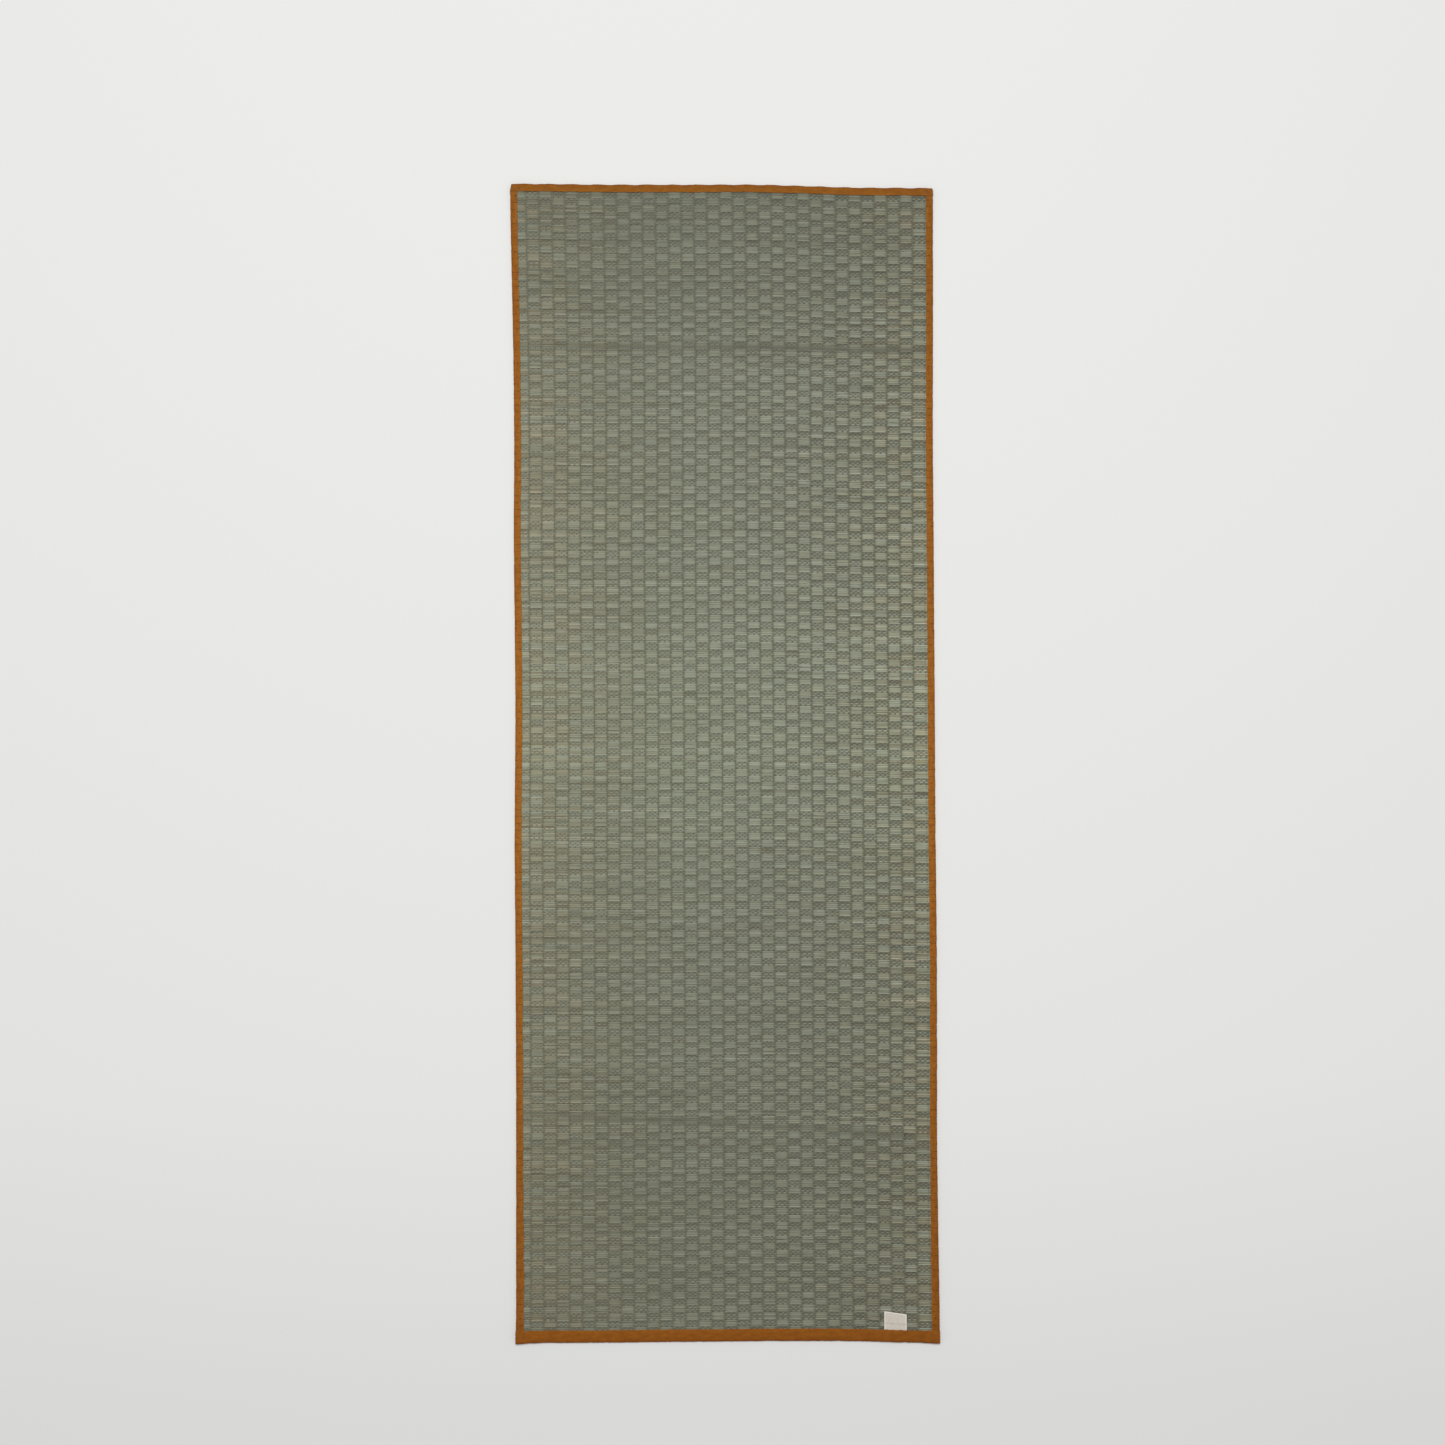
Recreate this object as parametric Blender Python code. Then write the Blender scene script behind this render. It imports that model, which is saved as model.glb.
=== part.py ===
"""Woven rush floor mat: one rush panel, a cotton tape folded over each edge, and a plain label.

The mat lies flat on the floor, z = 0, with its length along Y and its width along X.
Sizes are in millimetres and MM turns them to metres. Every piece is drawn on a true
rectangle, and place() then moves each point on to the uneven outline of the real mat.
"""

import math
from collections import namedtuple

import bmesh
import bpy

MM = 0.001

HALF_WIDTH = 329.0
HALF_LENGTH = 901.0

PANEL_THICK = 2.2
TAPE_THICK = 1.0
GAP = 0.3
STEP = TAPE_THICK + GAP

SIDE_TAPE_WIDTH = 10.5
TOP_TAPE_WIDTH = 11.0
BOTTOM_TAPE_WIDTH = 17.6
BOTTOM_TAPE_OVERHANG = 1.4
BOTTOM_TAPE_FLARE = 1.6
FLARE_RUN = 40.0
TAPE_ROUNDING = 0.8
ROUNDING_SHARE = 0.3

SCALLOP_PITCH = 39.0
SCALLOP_HEIGHT = 0.4

# The panel leaves the floor near its edges, where the tape under it holds it up.
LIFT_START = 2.0
LIFT_END = 45.0
LIFT_STATIONS = (2.0, 12.0, 23.0, 34.0, 45.0)

# An end tape lies over the ends of both side tapes, and comes down beside them.
SIDE_TAPE_COVER = 1.0
SIDE_TAPE_DROP = 8.0

COLUMN_PITCH = 20.054
COLUMN_BORDERS = 31
FIRST_BORDER = -306.3
GROOVE_HALF_WIDTH = 3.5
GROOVE_DEPTH = 0.35
SHARP_ANGLE = math.radians(40.0)

LONGEST_ROW_STEP = 130.0
BOTTOM_TAPE_STEP = 45.0

LABEL_LEFT = 243.5
LABEL_RIGHT = 280.1
LABEL_TOP_LEFT = -855.8
LABEL_TOP_RIGHT = -859.0
LABEL_TUCK = 5.0
LABEL_THICK = 1.0
LABEL_MARGIN = 2.0
LABEL_DROP = 6.0
LABEL_CELLS = (6, 8)
LABEL_CLEARANCE = 3.0

Side = namedtuple("Side", "y left right")
SIDES = (
    Side(-903.0, -329.6, 329.7),
    Side(-838.0, -329.2, 329.6),
    Side(-740.0, -328.8, 328.6),
    Side(-588.0, -328.0, 327.4),
    Side(-463.0, -327.3, 327.9),
    Side(-300.0, -326.9, 328.6),
    Side(-120.0, -327.9, 328.1),
    Side(98.0, -325.7, 327.3),
    Side(350.0, -326.0, 326.3),
    Side(503.0, -325.2, 325.8),
    Side(658.0, -326.6, 326.6),
    Side(785.0, -327.5, 327.1),
    Side(885.0, -328.3, 328.3),
    Side(903.0, -326.9, 327.2),
)

End = namedtuple("End", "x bottom top")
ENDS = (
    End(-329.0, -901.5, 902.3),
    End(-295.0, -901.1, 902.1),
    End(-189.0, -900.8, 900.7),
    End(-33.0, -900.0, 899.8),
    End(60.0, -899.9, 899.2),
    End(122.0, -900.0, 897.3),
    End(206.0, -900.3, 894.9),
    End(290.0, -900.8, 892.9),
    End(329.0, -901.2, 892.2),
)

# The folds left from storage: soft troughs across the top face. Each fades over its two ends,
# and one that runs to the edge of the mat is given an end outside it.
Crease = namedtuple("Crease", "y_left y_right x_from x_to depth")
CREASES = (
    Crease(647.0, 645.0, -380.0, 380.0, 0.9),
    Crease(500.0, 498.0, 0.0, 380.0, 0.7),
    Crease(-272.0, -274.0, -370.0, -90.0, 0.6),
    Crease(-547.0, -584.0, -370.0, 330.0, 1.0),
)
CREASE_HALF_WIDTH = 14.0
CREASE_FADE = 60.0
CREASE_ROWS = (-14.0, 0.0, 14.0)

RUSH_COLOUR = (0.205, 0.212, 0.160)
TAPE_COLOUR = (0.270, 0.098, 0.016)
LABEL_COLOUR = (0.578, 0.527, 0.456)


def smooth(share):
    share = min(max(share, 0.0), 1.0)
    return share * share * (3.0 - 2.0 * share)


def read(table, column, at):
    """The column's value at a place along the table's first column, on a smooth curve through its rows."""
    last = len(table) - 1
    row = 0
    while row < last - 1 and at > table[row + 1][0]:
        row += 1
    values = [getattr(table[min(max(k, 0), last)], column) for k in range(row - 1, row + 3)]
    before, start, end, after = values
    share = (at - table[row][0]) / (table[row + 1][0] - table[row][0])
    share = min(max(share, 0.0), 1.0)
    straight = 2.0 * start + (end - before) * share
    bend = (2.0 * before - 5.0 * start + 4.0 * end - after) * share ** 2
    twist = (3.0 * start - before - 3.0 * end + after) * share ** 3
    return 0.5 * (straight + bend + twist)


def place(x, y, z):
    """A point of the true rectangle, in millimetres, moved on to the uneven mat, in metres."""
    bottom = read(ENDS, "bottom", x)
    top = read(ENDS, "top", x)
    real_y = bottom + (top - bottom) * (y + HALF_LENGTH) / (2.0 * HALF_LENGTH)
    left = read(SIDES, "left", real_y)
    right = read(SIDES, "right", real_y)
    real_x = left + (right - left) * (x + HALF_WIDTH) / (2.0 * HALF_WIDTH)
    return real_x * MM, real_y * MM, z * MM


def side_distance(x):
    """How far inside the side tapes' inner edges a point lies."""
    return HALF_WIDTH - SIDE_TAPE_WIDTH - abs(x)


def end_distance(y):
    """How far inside the end tapes' inner edges a point lies."""
    width = TOP_TAPE_WIDTH if y > 0 else BOTTOM_TAPE_WIDTH
    return HALF_LENGTH - width - abs(y)


def lift(distance):
    return 1.0 - smooth((distance - LIFT_START) / (LIFT_END - LIFT_START))


def underside(x, y):
    """Height of the panel's lower face: on the floor, and one tape higher over each tape."""
    return STEP * (lift(side_distance(x)) + lift(end_distance(y)))


def groove(x):
    """Depth of the groove where two columns of the weave meet."""
    nearest = round((x - FIRST_BORDER) / COLUMN_PITCH)
    nearest = min(max(nearest, 0), COLUMN_BORDERS - 1)
    away = abs(x - FIRST_BORDER - nearest * COLUMN_PITCH)
    return GROOVE_DEPTH * max(0.0, 1.0 - away / GROOVE_HALF_WIDTH)


def crease_line(crease, x):
    share = (x + HALF_WIDTH) / (2.0 * HALF_WIDTH)
    return crease.y_left + (crease.y_right - crease.y_left) * share


def crease_depth(x, y):
    depth = 0.0
    for crease in CREASES:
        across = abs(y - crease_line(crease, x)) / CREASE_HALF_WIDTH
        inside = min(x - crease.x_from, crease.x_to - x)
        depth += crease.depth * smooth(inside / CREASE_FADE) * (1.0 - smooth(across))
    return depth


def crest(x, y):
    """Height of the panel's upper face on top of the ribs."""
    return underside(x, y) + PANEL_THICK


def new_object(name, bm, material):
    bmesh.ops.recalc_face_normals(bm, faces=bm.faces)
    mesh = bpy.data.meshes.new(name)
    bm.to_mesh(mesh)
    bm.free()
    mesh.materials.append(material)
    mesh.shade_smooth()
    mesh.set_sharp_from_angle(angle=SHARP_ANGLE)
    obj = bpy.data.objects.new(name, mesh)
    bpy.context.scene.collection.objects.link(obj)
    return obj


def cloth_material(name, colour, roughness):
    material = bpy.data.materials.new(name)
    material.use_nodes = True
    shader = material.node_tree.nodes["Principled BSDF"]
    shader.inputs["Base Color"].default_value = (*colour, 1.0)
    shader.inputs["Roughness"].default_value = roughness
    shader.inputs["Metallic"].default_value = 0.0
    return material


def thick_sheet(name, points, lower_faces, material):
    """A closed sheet from a grid of upper points, extruded down to the height of its lower face."""
    bm = bmesh.new()
    rows = len(points)
    columns = len(points[0])
    bmesh.ops.create_grid(bm, x_segments=columns - 1, y_segments=rows - 1, size=1.0)
    lower_height = {}
    for vert in bm.verts:
        i = round((vert.co.x + 1.0) / 2.0 * (columns - 1))
        j = round((vert.co.y + 1.0) / 2.0 * (rows - 1))
        vert.co = place(*points[j][i])
        lower_height[vert.co.copy().freeze()] = lower_faces[j][i] * MM
    made = bmesh.ops.extrude_face_region(bm, geom=list(bm.faces))
    for item in made["geom"]:
        if isinstance(item, bmesh.types.BMVert):
            item.co.z = lower_height[item.co.copy().freeze()]
    return new_object(name, bm, material)


def swept_tape(name, sections, material):
    """A closed strip: the first section is a face, and it is extruded through the others."""
    bm = bmesh.new()
    cap = bm.faces.new([bm.verts.new(place(*point)) for point in sections[0]])
    face = cap
    for section in sections[1:]:
        corners = {vert.co.copy().freeze(): n for n, vert in enumerate(face.verts)}
        made = bmesh.ops.extrude_face_region(bm, geom=[face])
        if face is not cap:
            bmesh.ops.delete(bm, geom=[face], context="FACES_ONLY")
        face = next(item for item in made["geom"] if isinstance(item, bmesh.types.BMFace))
        for vert in face.verts:
            vert.co = place(*section[corners[vert.co.copy().freeze()]])
    return new_object(name, bm, material)


def folded_section(inner, outer, floor, slot_top):
    """Points of a tape folded over an edge, as (across, height), with the fold rounded outside."""
    way = 1.0 if outer > inner else -1.0
    top = slot_top + TAPE_THICK
    wall = outer - way * TAPE_THICK
    soft = way * TAPE_ROUNDING
    corner = TAPE_ROUNDING * ROUNDING_SHARE
    return (
        (inner, top),
        (outer - soft, top),
        (outer - soft * ROUNDING_SHARE, top - corner),
        (outer, top - TAPE_ROUNDING),
        (outer, floor + TAPE_ROUNDING),
        (outer - soft * ROUNDING_SHARE, floor + corner),
        (outer - soft, floor),
        (inner, floor),
        (inner, floor + TAPE_THICK),
        (wall, floor + TAPE_THICK),
        (wall, slot_top),
        (inner, slot_top),
    )


def spread(start, end, longest):
    """Even places from start to end, both included, no further apart than longest."""
    count = max(1, math.ceil((end - start) / longest))
    return [start + (end - start) * n / count for n in range(count + 1)]


def panel_columns():
    """Places across the panel: its edges, the tapes' edges, and each groove with its shoulders."""
    edge = HALF_WIDTH - STEP
    inner = HALF_WIDTH - SIDE_TAPE_WIDTH
    places = [-edge, -inner, -inner + LIFT_START]
    for n in range(COLUMN_BORDERS):
        border = FIRST_BORDER + n * COLUMN_PITCH
        places += [border - GROOVE_HALF_WIDTH, border, border + GROOVE_HALF_WIDTH]
    return places + [inner - LIFT_START, inner, edge]


def panel_rows():
    """Rows along the panel, each with its place at the left and right edge of the rectangle."""
    edge = HALF_LENGTH - STEP
    bottom = BOTTOM_TAPE_WIDTH - HALF_LENGTH
    top = HALF_LENGTH - TOP_TAPE_WIDTH
    rows = [(-edge, -edge), (bottom, bottom)]
    rows += [(bottom + far, bottom + far) for far in LIFT_STATIONS]
    for crease in CREASES:
        rows += [(crease.y_left + off, crease.y_right + off) for off in CREASE_ROWS]
    rows += [(top - far, top - far) for far in LIFT_STATIONS]
    rows += [(top, top), (edge, edge)]
    rows.sort()
    full = [rows[0]]
    for row in rows[1:]:
        last = full[-1]
        count = max(1, math.ceil((row[0] - last[0]) / LONGEST_ROW_STEP))
        for n in range(1, count + 1):
            share = n / count
            full.append((last[0] + (row[0] - last[0]) * share, last[1] + (row[1] - last[1]) * share))
    return full


def make_panel(material):
    upper = []
    lower = []
    for left, right in panel_rows():
        upper_row = []
        lower_row = []
        for x in panel_columns():
            y = left + (right - left) * (x + HALF_WIDTH) / (2.0 * HALF_WIDTH)
            upper_row.append((x, y, crest(x, y) - groove(x) - crease_depth(x, y)))
            lower_row.append(underside(x, y))
        upper.append(upper_row)
        lower.append(lower_row)
    return thick_sheet("rush_panel", upper, lower, material)


def make_side_tape(name, side, material):
    """A tape with a section at each row of the panel, so that both follow one edge line."""
    sections = []
    for row in panel_rows():
        y = row[0] if side < 0 else row[1]
        floor = STEP * lift(end_distance(y))
        slot_top = floor + STEP + PANEL_THICK + GAP
        outline = folded_section(
            side * (HALF_WIDTH - SIDE_TAPE_WIDTH), side * HALF_WIDTH, floor, slot_top
        )
        sections.append([(x, y, z) for x, z in outline])
    return swept_tape(name, sections, material)


def over_side_tape(x):
    """1 over a side tape and 0 beside it."""
    past = side_distance(x) - SIDE_TAPE_COVER
    return 1.0 - min(max(past / (SIDE_TAPE_DROP - SIDE_TAPE_COVER), 0.0), 1.0)


def over_label(x):
    """1 over the label's tucked edge and 0 beside it."""
    outside = max(LABEL_LEFT - LABEL_MARGIN - x, x - LABEL_RIGHT - LABEL_MARGIN)
    return 1.0 - min(max(outside / LABEL_DROP, 0.0), 1.0)


def end_tape_places(reach, longest, extra=()):
    """Places across an end tape: over each side tape, down beside it, down the lift, then even."""
    inner = HALF_WIDTH - SIDE_TAPE_WIDTH
    corner = [reach, inner, inner - SIDE_TAPE_COVER, inner - SIDE_TAPE_DROP]
    corner += [inner - far for far in LIFT_STATIONS[2:]]
    middle = spread(-corner[-1], corner[-1], longest)[1:-1]
    clear = [x for x in middle if all(abs(x - far) > LABEL_CLEARANCE for far in extra)]
    return sorted([-x for x in corner] + corner + clear + list(extra))


def make_top_tape(material):
    inner = HALF_LENGTH - TOP_TAPE_WIDTH
    sections = []
    for x in end_tape_places(HALF_WIDTH, SCALLOP_PITCH / 4.0):
        wave = 1.0 + math.cos(2.0 * math.pi * x / SCALLOP_PITCH)
        outer = HALF_LENGTH + SCALLOP_HEIGHT * wave
        slot_top = crest(x, inner) + GAP + STEP * over_side_tape(x)
        outline = folded_section(inner, outer, 0.0, slot_top)
        sections.append([(x, y, z) for y, z in outline])
    return swept_tape("binding_top", sections, material)


def make_bottom_tape(material):
    inner = BOTTOM_TAPE_WIDTH - HALF_LENGTH
    near_label = (
        LABEL_LEFT - LABEL_MARGIN - LABEL_DROP,
        LABEL_LEFT - LABEL_MARGIN,
        LABEL_RIGHT + LABEL_MARGIN,
        LABEL_RIGHT + LABEL_MARGIN + LABEL_DROP,
    )
    reach = HALF_WIDTH + BOTTOM_TAPE_OVERHANG
    sections = []
    for x in end_tape_places(reach, BOTTOM_TAPE_STEP, near_label):
        flare = BOTTOM_TAPE_FLARE * smooth(1.0 - (reach - abs(x)) / FLARE_RUN)
        raised = max(over_side_tape(x), over_label(x))
        slot_top = crest(x, inner) + GAP + STEP * raised
        outline = folded_section(inner, -HALF_LENGTH - flare, 0.0, slot_top)
        sections.append([(x, y, z) for y, z in outline])
    return swept_tape("binding_bottom", sections, material)


def make_label(material):
    """A bare label that lies on the ribs, with its lower edge under the bottom tape."""
    across, down = LABEL_CELLS
    low = BOTTOM_TAPE_WIDTH - HALF_LENGTH - LABEL_TUCK
    upper = []
    lower = []
    for j in range(down + 1):
        upper_row = []
        lower_row = []
        for i in range(across + 1):
            x = LABEL_LEFT + (LABEL_RIGHT - LABEL_LEFT) * i / across
            top = LABEL_TOP_LEFT + (LABEL_TOP_RIGHT - LABEL_TOP_LEFT) * i / across
            y = low + (top - low) * j / down
            height = crest(x, y) + GAP
            upper_row.append((x, y, height + LABEL_THICK))
            lower_row.append(height)
        upper.append(upper_row)
        lower.append(lower_row)
    return thick_sheet("label", upper, lower, material)


def main():
    for obj in list(bpy.data.objects):
        bpy.data.objects.remove(obj, do_unlink=True)
    rush = cloth_material("woven rush", RUSH_COLOUR, 0.72)
    cotton = cloth_material("brown cotton tape", TAPE_COLOUR, 0.9)
    cream = cloth_material("cream cotton label", LABEL_COLOUR, 0.9)
    make_panel(rush)
    make_side_tape("binding_left", -1.0, cotton)
    make_side_tape("binding_right", 1.0, cotton)
    make_top_tape(cotton)
    make_bottom_tape(cotton)
    make_label(cream)


main()
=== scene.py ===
# %% [markdown]
# A woven rush mat with brown cotton tape round its edges.
# The real mat is woven from dried igusa rush. Its wefts are pairs of rush stems that cross the
# width, and its warps are thin threads that run the length. Where the stems float over several
# warps the face is smooth and pale, and where they go over and under each warp it is beaded and
# darker. The two kinds of block make a small checker. This script builds every weft pair, every
# warp, the tapes, their stitches and the label as real shapes.

# %% Load the frame
import math

import bpy
import numpy as np
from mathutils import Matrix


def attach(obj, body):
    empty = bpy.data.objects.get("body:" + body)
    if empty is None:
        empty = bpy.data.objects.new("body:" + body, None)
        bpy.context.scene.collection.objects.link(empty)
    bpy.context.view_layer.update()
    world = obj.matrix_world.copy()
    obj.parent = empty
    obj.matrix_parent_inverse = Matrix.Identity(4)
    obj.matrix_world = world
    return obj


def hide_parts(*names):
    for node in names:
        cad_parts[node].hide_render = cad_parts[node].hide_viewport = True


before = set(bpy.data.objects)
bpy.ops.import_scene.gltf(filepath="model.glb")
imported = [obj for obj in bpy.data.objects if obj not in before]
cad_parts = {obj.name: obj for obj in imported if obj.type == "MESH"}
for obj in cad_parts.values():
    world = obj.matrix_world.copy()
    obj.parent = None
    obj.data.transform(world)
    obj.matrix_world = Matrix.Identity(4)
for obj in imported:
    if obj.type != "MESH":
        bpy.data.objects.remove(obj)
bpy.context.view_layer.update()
bpy.ops.object.select_all(action="DESELECT")
print("frame nodes:", sorted(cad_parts))

# %% [markdown]
# Sizes come first, in millimetres, because that is how a mat is measured. The mat is drawn on a
# true rectangle, and one function moves every point on to the uneven outline of the real mat, so
# that the weave, the tapes and the label all follow the same edge lines.

# %% Sizes of the mat
MM = 0.001
HALF_WIDTH = 329.0
HALF_LENGTH = 901.0
PANEL_THICK = 2.2
TAPE_THICK = 1.0
# The tapes clear the mat by this gap, so what lies on a layer of tape is lifted by one step.
GAP = 0.3
STEP = TAPE_THICK + GAP
# The woven panel ends this far inside the outer edges of the tapes.
PANEL_INSET = 1.3
SIDE_TAPE_WIDTH = 10.5
TOP_TAPE_WIDTH = 11.0
BOTTOM_TAPE_WIDTH = 19.0
# The tape below holds the mat up, from this far inside its inner edge to this far.
LIFT_START = 2.0
LIFT_END = 45.0

# The outline of the real mat: places along an edge, and how far out the edge lies at each.
SIDE_Y = (-903, -838, -740, -588, -463, -300, -120, 98, 350, 503, 658, 785, 885, 892, 903)
LEFT_X = (-329.9, -329.2, -328.6, -327.8, -327.3, -327.2, -327.6, -325.3, -326.3, -325.0, -325.8,
          -327.8, -329.1, -329.0, -326.8)
RIGHT_X = (329.4, 329.4, 328.3, 327.2, 327.8, 328.3, 327.4, 327.1, 326.8, 326.4, 327.5, 328.1,
           328.4, 327.6, 325.7)
END_X = (-329, -295, -189, -33, 60, 122, 206, 290, 329)
BOTTOM_Y = (-900.2, -900.0, -899.9, -899.2, -898.9, -899.1, -900.0, -902.4, -902.8)
TOP_Y = (901.1, 901.3, 899.5, 898.6, 898.0, 895.9, 892.8, 891.8, 890.9)


def ease(share):
    share = np.clip(share, 0.0, 1.0)
    return share * share * (3.0 - 2.0 * share)


def curve_through(places, values, at):
    """A smooth curve through a few measured values, read at any places."""
    places = np.asarray(places, float)
    values = np.asarray(values, float)
    row = np.clip(np.searchsorted(places, at, side="right") - 1, 0, len(places) - 2)
    share = np.clip((at - places[row]) / (places[row + 1] - places[row]), 0.0, 1.0)
    before = values[np.maximum(row - 1, 0)]
    start = values[row]
    end = values[row + 1]
    after = values[np.minimum(row + 2, len(places) - 1)]
    straight = 2.0 * start + (end - before) * share
    bend = (2.0 * before - 5.0 * start + 4.0 * end - after) * share ** 2
    twist = (3.0 * start - before - 3.0 * end + after) * share ** 3
    return 0.5 * (straight + bend + twist)


def place(x, y, z):
    """Points of the true rectangle, in millimetres, moved on to the real mat, in metres."""
    x, y, z = np.broadcast_arrays(np.asarray(x, float), y, z)
    bottom = curve_through(END_X, BOTTOM_Y, x)
    top = curve_through(END_X, TOP_Y, x)
    real_y = bottom + (top - bottom) * (y + HALF_LENGTH) / (2.0 * HALF_LENGTH)
    left = curve_through(SIDE_Y, LEFT_X, real_y)
    right = curve_through(SIDE_Y, RIGHT_X, real_y)
    real_x = left + (right - left) * (x + HALF_WIDTH) / (2.0 * HALF_WIDTH)
    return np.stack([real_x, real_y, z], axis=-1) * MM


print("mat:", 2 * HALF_WIDTH, "x", 2 * HALF_LENGTH, "mm")

# %% [markdown]
# The mat lies on the floor, but near its edges the folded tape runs under it and holds it up by
# the thickness of the tape. Four soft troughs are left from the folds of storage, and along the
# middle of each the wefts are pressed flatter.

# %% Height of the mat's surface
CREASES = (
    # y at left, y at right, from x, to x, depth, share pressed flat, half width of the pressed line
    (649.0, 649.4, -380.0, 380.0, 0.9, 0.30, 3.8),
    (495.5, 493.5, 0.0, 380.0, 0.7, 0.10, 5.0),
    (-272.0, -274.0, -370.0, -90.0, 0.6, 0.10, 3.2),
    (-544.5, -580.5, -370.0, 330.0, 1.0, 0.17, 6.5),
)
CREASE_HALF_WIDTH = 14.0
CREASE_FADE = 60.0


def side_distance(x):
    """How far inside the side tapes' inner edges x is."""
    return HALF_WIDTH - SIDE_TAPE_WIDTH - np.abs(x)


def end_distance(y):
    """How far inside the end tapes' inner edges y is."""
    width = np.where(np.asarray(y) > 0, TOP_TAPE_WIDTH, BOTTOM_TAPE_WIDTH)
    return HALF_LENGTH - width - np.abs(y)


def lift(distance):
    return 1.0 - ease((distance - LIFT_START) / (LIFT_END - LIFT_START))


def underside(x, y):
    """Height of the mat's lower face over the floor."""
    return STEP * (lift(side_distance(x)) + lift(end_distance(y)))


def from_crease(x, y, y_left, y_right, x_from, x_to):
    """How far y is from the crease's line, and the crease's strength at x."""
    line = y_left + (y_right - y_left) * (x + HALF_WIDTH) / (2.0 * HALF_WIDTH)
    return y - line, ease(np.minimum(x - x_from, x_to - x) / CREASE_FADE)


def crease_depth(x, y):
    depth = 0.0
    for *line, deep, _, _ in CREASES:
        away, strength = from_crease(x, y, *line)
        depth = depth + deep * strength * (1.0 - ease(np.abs(away) / CREASE_HALF_WIDTH))
    return depth


def pressed_line(x, y):
    """The share by which the wefts are flattened on the line where a fold was pressed hardest."""
    flattened = 0.0
    for *line, _, share, half_width in CREASES:
        away, strength = from_crease(x, y, *line)
        flattened = flattened + share * strength * np.exp(-(away / half_width) ** 2)
    return flattened


def squeeze(x, y):
    """The share of its thickness that the mat keeps: less where a fold has pressed it."""
    return 1.0 - crease_depth(x, y) / PANEL_THICK


print("creases:", len(CREASES))

# %% [markdown]
# Every colour is picked as an sRGB hex value and turned to linear light by one function. A second
# small function adds a shader node with its settings and links, so that each material reads as a
# short list of steps. Three more turn arrays of points into a mesh and read a mesh's points back.

# %% Helpers for colours, nodes and meshes
def linear(hex_colour):
    """An sRGB hex colour as linear red, green, blue and alpha."""
    parts = [int(hex_colour[k:k + 2], 16) / 255.0 for k in (1, 3, 5)]
    return tuple(c / 12.92 if c <= 0.04045 else ((c + 0.055) / 1.055) ** 2.4 for c in parts) + (1.0,)


def add_node(tree, kind, settings=None, links=None):
    """A node of this kind. Settings name its properties or inputs, and links feed its inputs."""
    node = tree.nodes.new(kind)
    for name, value in (settings or {}).items():
        if isinstance(name, int) or name in node.inputs:
            node.inputs[name].default_value = value
        else:
            setattr(node, name, value)
    for name, source in (links or {}).items():
        tree.links.new(source, node.inputs[name])
    return node


def new_material(name):
    material = bpy.data.materials.new(name)
    material.use_nodes = True
    material.node_tree.nodes.clear()
    return material, material.node_tree


def keep_values(mesh, values):
    """Keeps a number for each point under each of these names, for the materials to read."""
    for title, numbers in values.items():
        layer = mesh.attributes.new(title, "FLOAT", "POINT")
        layer.data.foreach_set("value", np.ascontiguousarray(numbers, np.float32).ravel())


def mesh_object(name, points, faces, material, uv=None, values=None):
    """One object from arrays of points and of four-cornered faces, shaded smooth."""
    mesh = bpy.data.meshes.new(name)
    points = np.ascontiguousarray(points, np.float32).reshape(-1, 3)
    faces = np.ascontiguousarray(faces, np.int32).reshape(-1, 4)
    mesh.vertices.add(len(points))
    mesh.vertices.foreach_set("co", points.ravel())
    mesh.loops.add(faces.size)
    mesh.loops.foreach_set("vertex_index", faces.ravel())
    mesh.polygons.add(len(faces))
    mesh.polygons.foreach_set("loop_start", np.arange(0, faces.size, 4, dtype=np.int32))
    mesh.polygons.foreach_set("loop_total", np.full(len(faces), 4, np.int32))
    mesh.update(calc_edges=True)
    if uv is not None:
        layer = mesh.uv_layers.new(name="stems")
        layer.data.foreach_set("uv", np.asarray(uv, np.float32).reshape(-1, 2)[faces.ravel()].ravel())
    keep_values(mesh, values or {})
    mesh.shade_smooth()
    mesh.materials.append(material)
    obj = bpy.data.objects.new(name, mesh)
    bpy.context.scene.collection.objects.link(obj)
    return obj


def grid_faces(rows, columns):
    """Corner numbers of the faces of a grid of points, facing up where columns run along +X."""
    corner = np.arange(rows - 1)[:, None] * columns + np.arange(columns - 1)[None, :]
    return np.stack([corner, corner + 1, corner + columns + 1, corner + columns], axis=-1)


def points_of(obj):
    """The object's points in millimetres, as rows of x, y and z."""
    points = np.empty(3 * len(obj.data.vertices))
    obj.data.vertices.foreach_get("co", points)
    return points.reshape(-1, 3) / MM


print("helpers ready")

# %% [markdown]
# All the materials are made of the same few steps: a place on the mat, a noise or a random number,
# a colour for it, and a surface. The stems, threads and tapes carry their own UV coordinates,
# which say how far along a piece a point is, in millimetres, and which stem or how far across.

# %% Steps that the materials share
def maths(tree, operation, *terms, clamp=False):
    """One step of arithmetic. Each term is a number or another node's output."""
    node = add_node(tree, "ShaderNodeMath", {"operation": operation, "use_clamp": clamp})
    for slot_number, term in enumerate(terms):
        if isinstance(term, (int, float)):
            node.inputs[slot_number].default_value = term
        else:
            tree.links.new(term, node.inputs[slot_number])
    return node.outputs[0]


def object_place(tree):
    return add_node(tree, "ShaderNodeTexCoord").outputs["Object"]


def stem_place(tree):
    """Millimetres along a stem, thread or tape, and the stem's number or the way across the tape."""
    return add_node(tree, "ShaderNodeUVMap", {"uv_map": "stems"}).outputs["UV"]


def split(tree, vector):
    parts = add_node(tree, "ShaderNodeSeparateXYZ", links={"Vector": vector})
    return parts.outputs["X"], parts.outputs["Y"]


def attribute(tree, name):
    return add_node(tree, "ShaderNodeAttribute", {"attribute_name": name}).outputs["Fac"]


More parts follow.
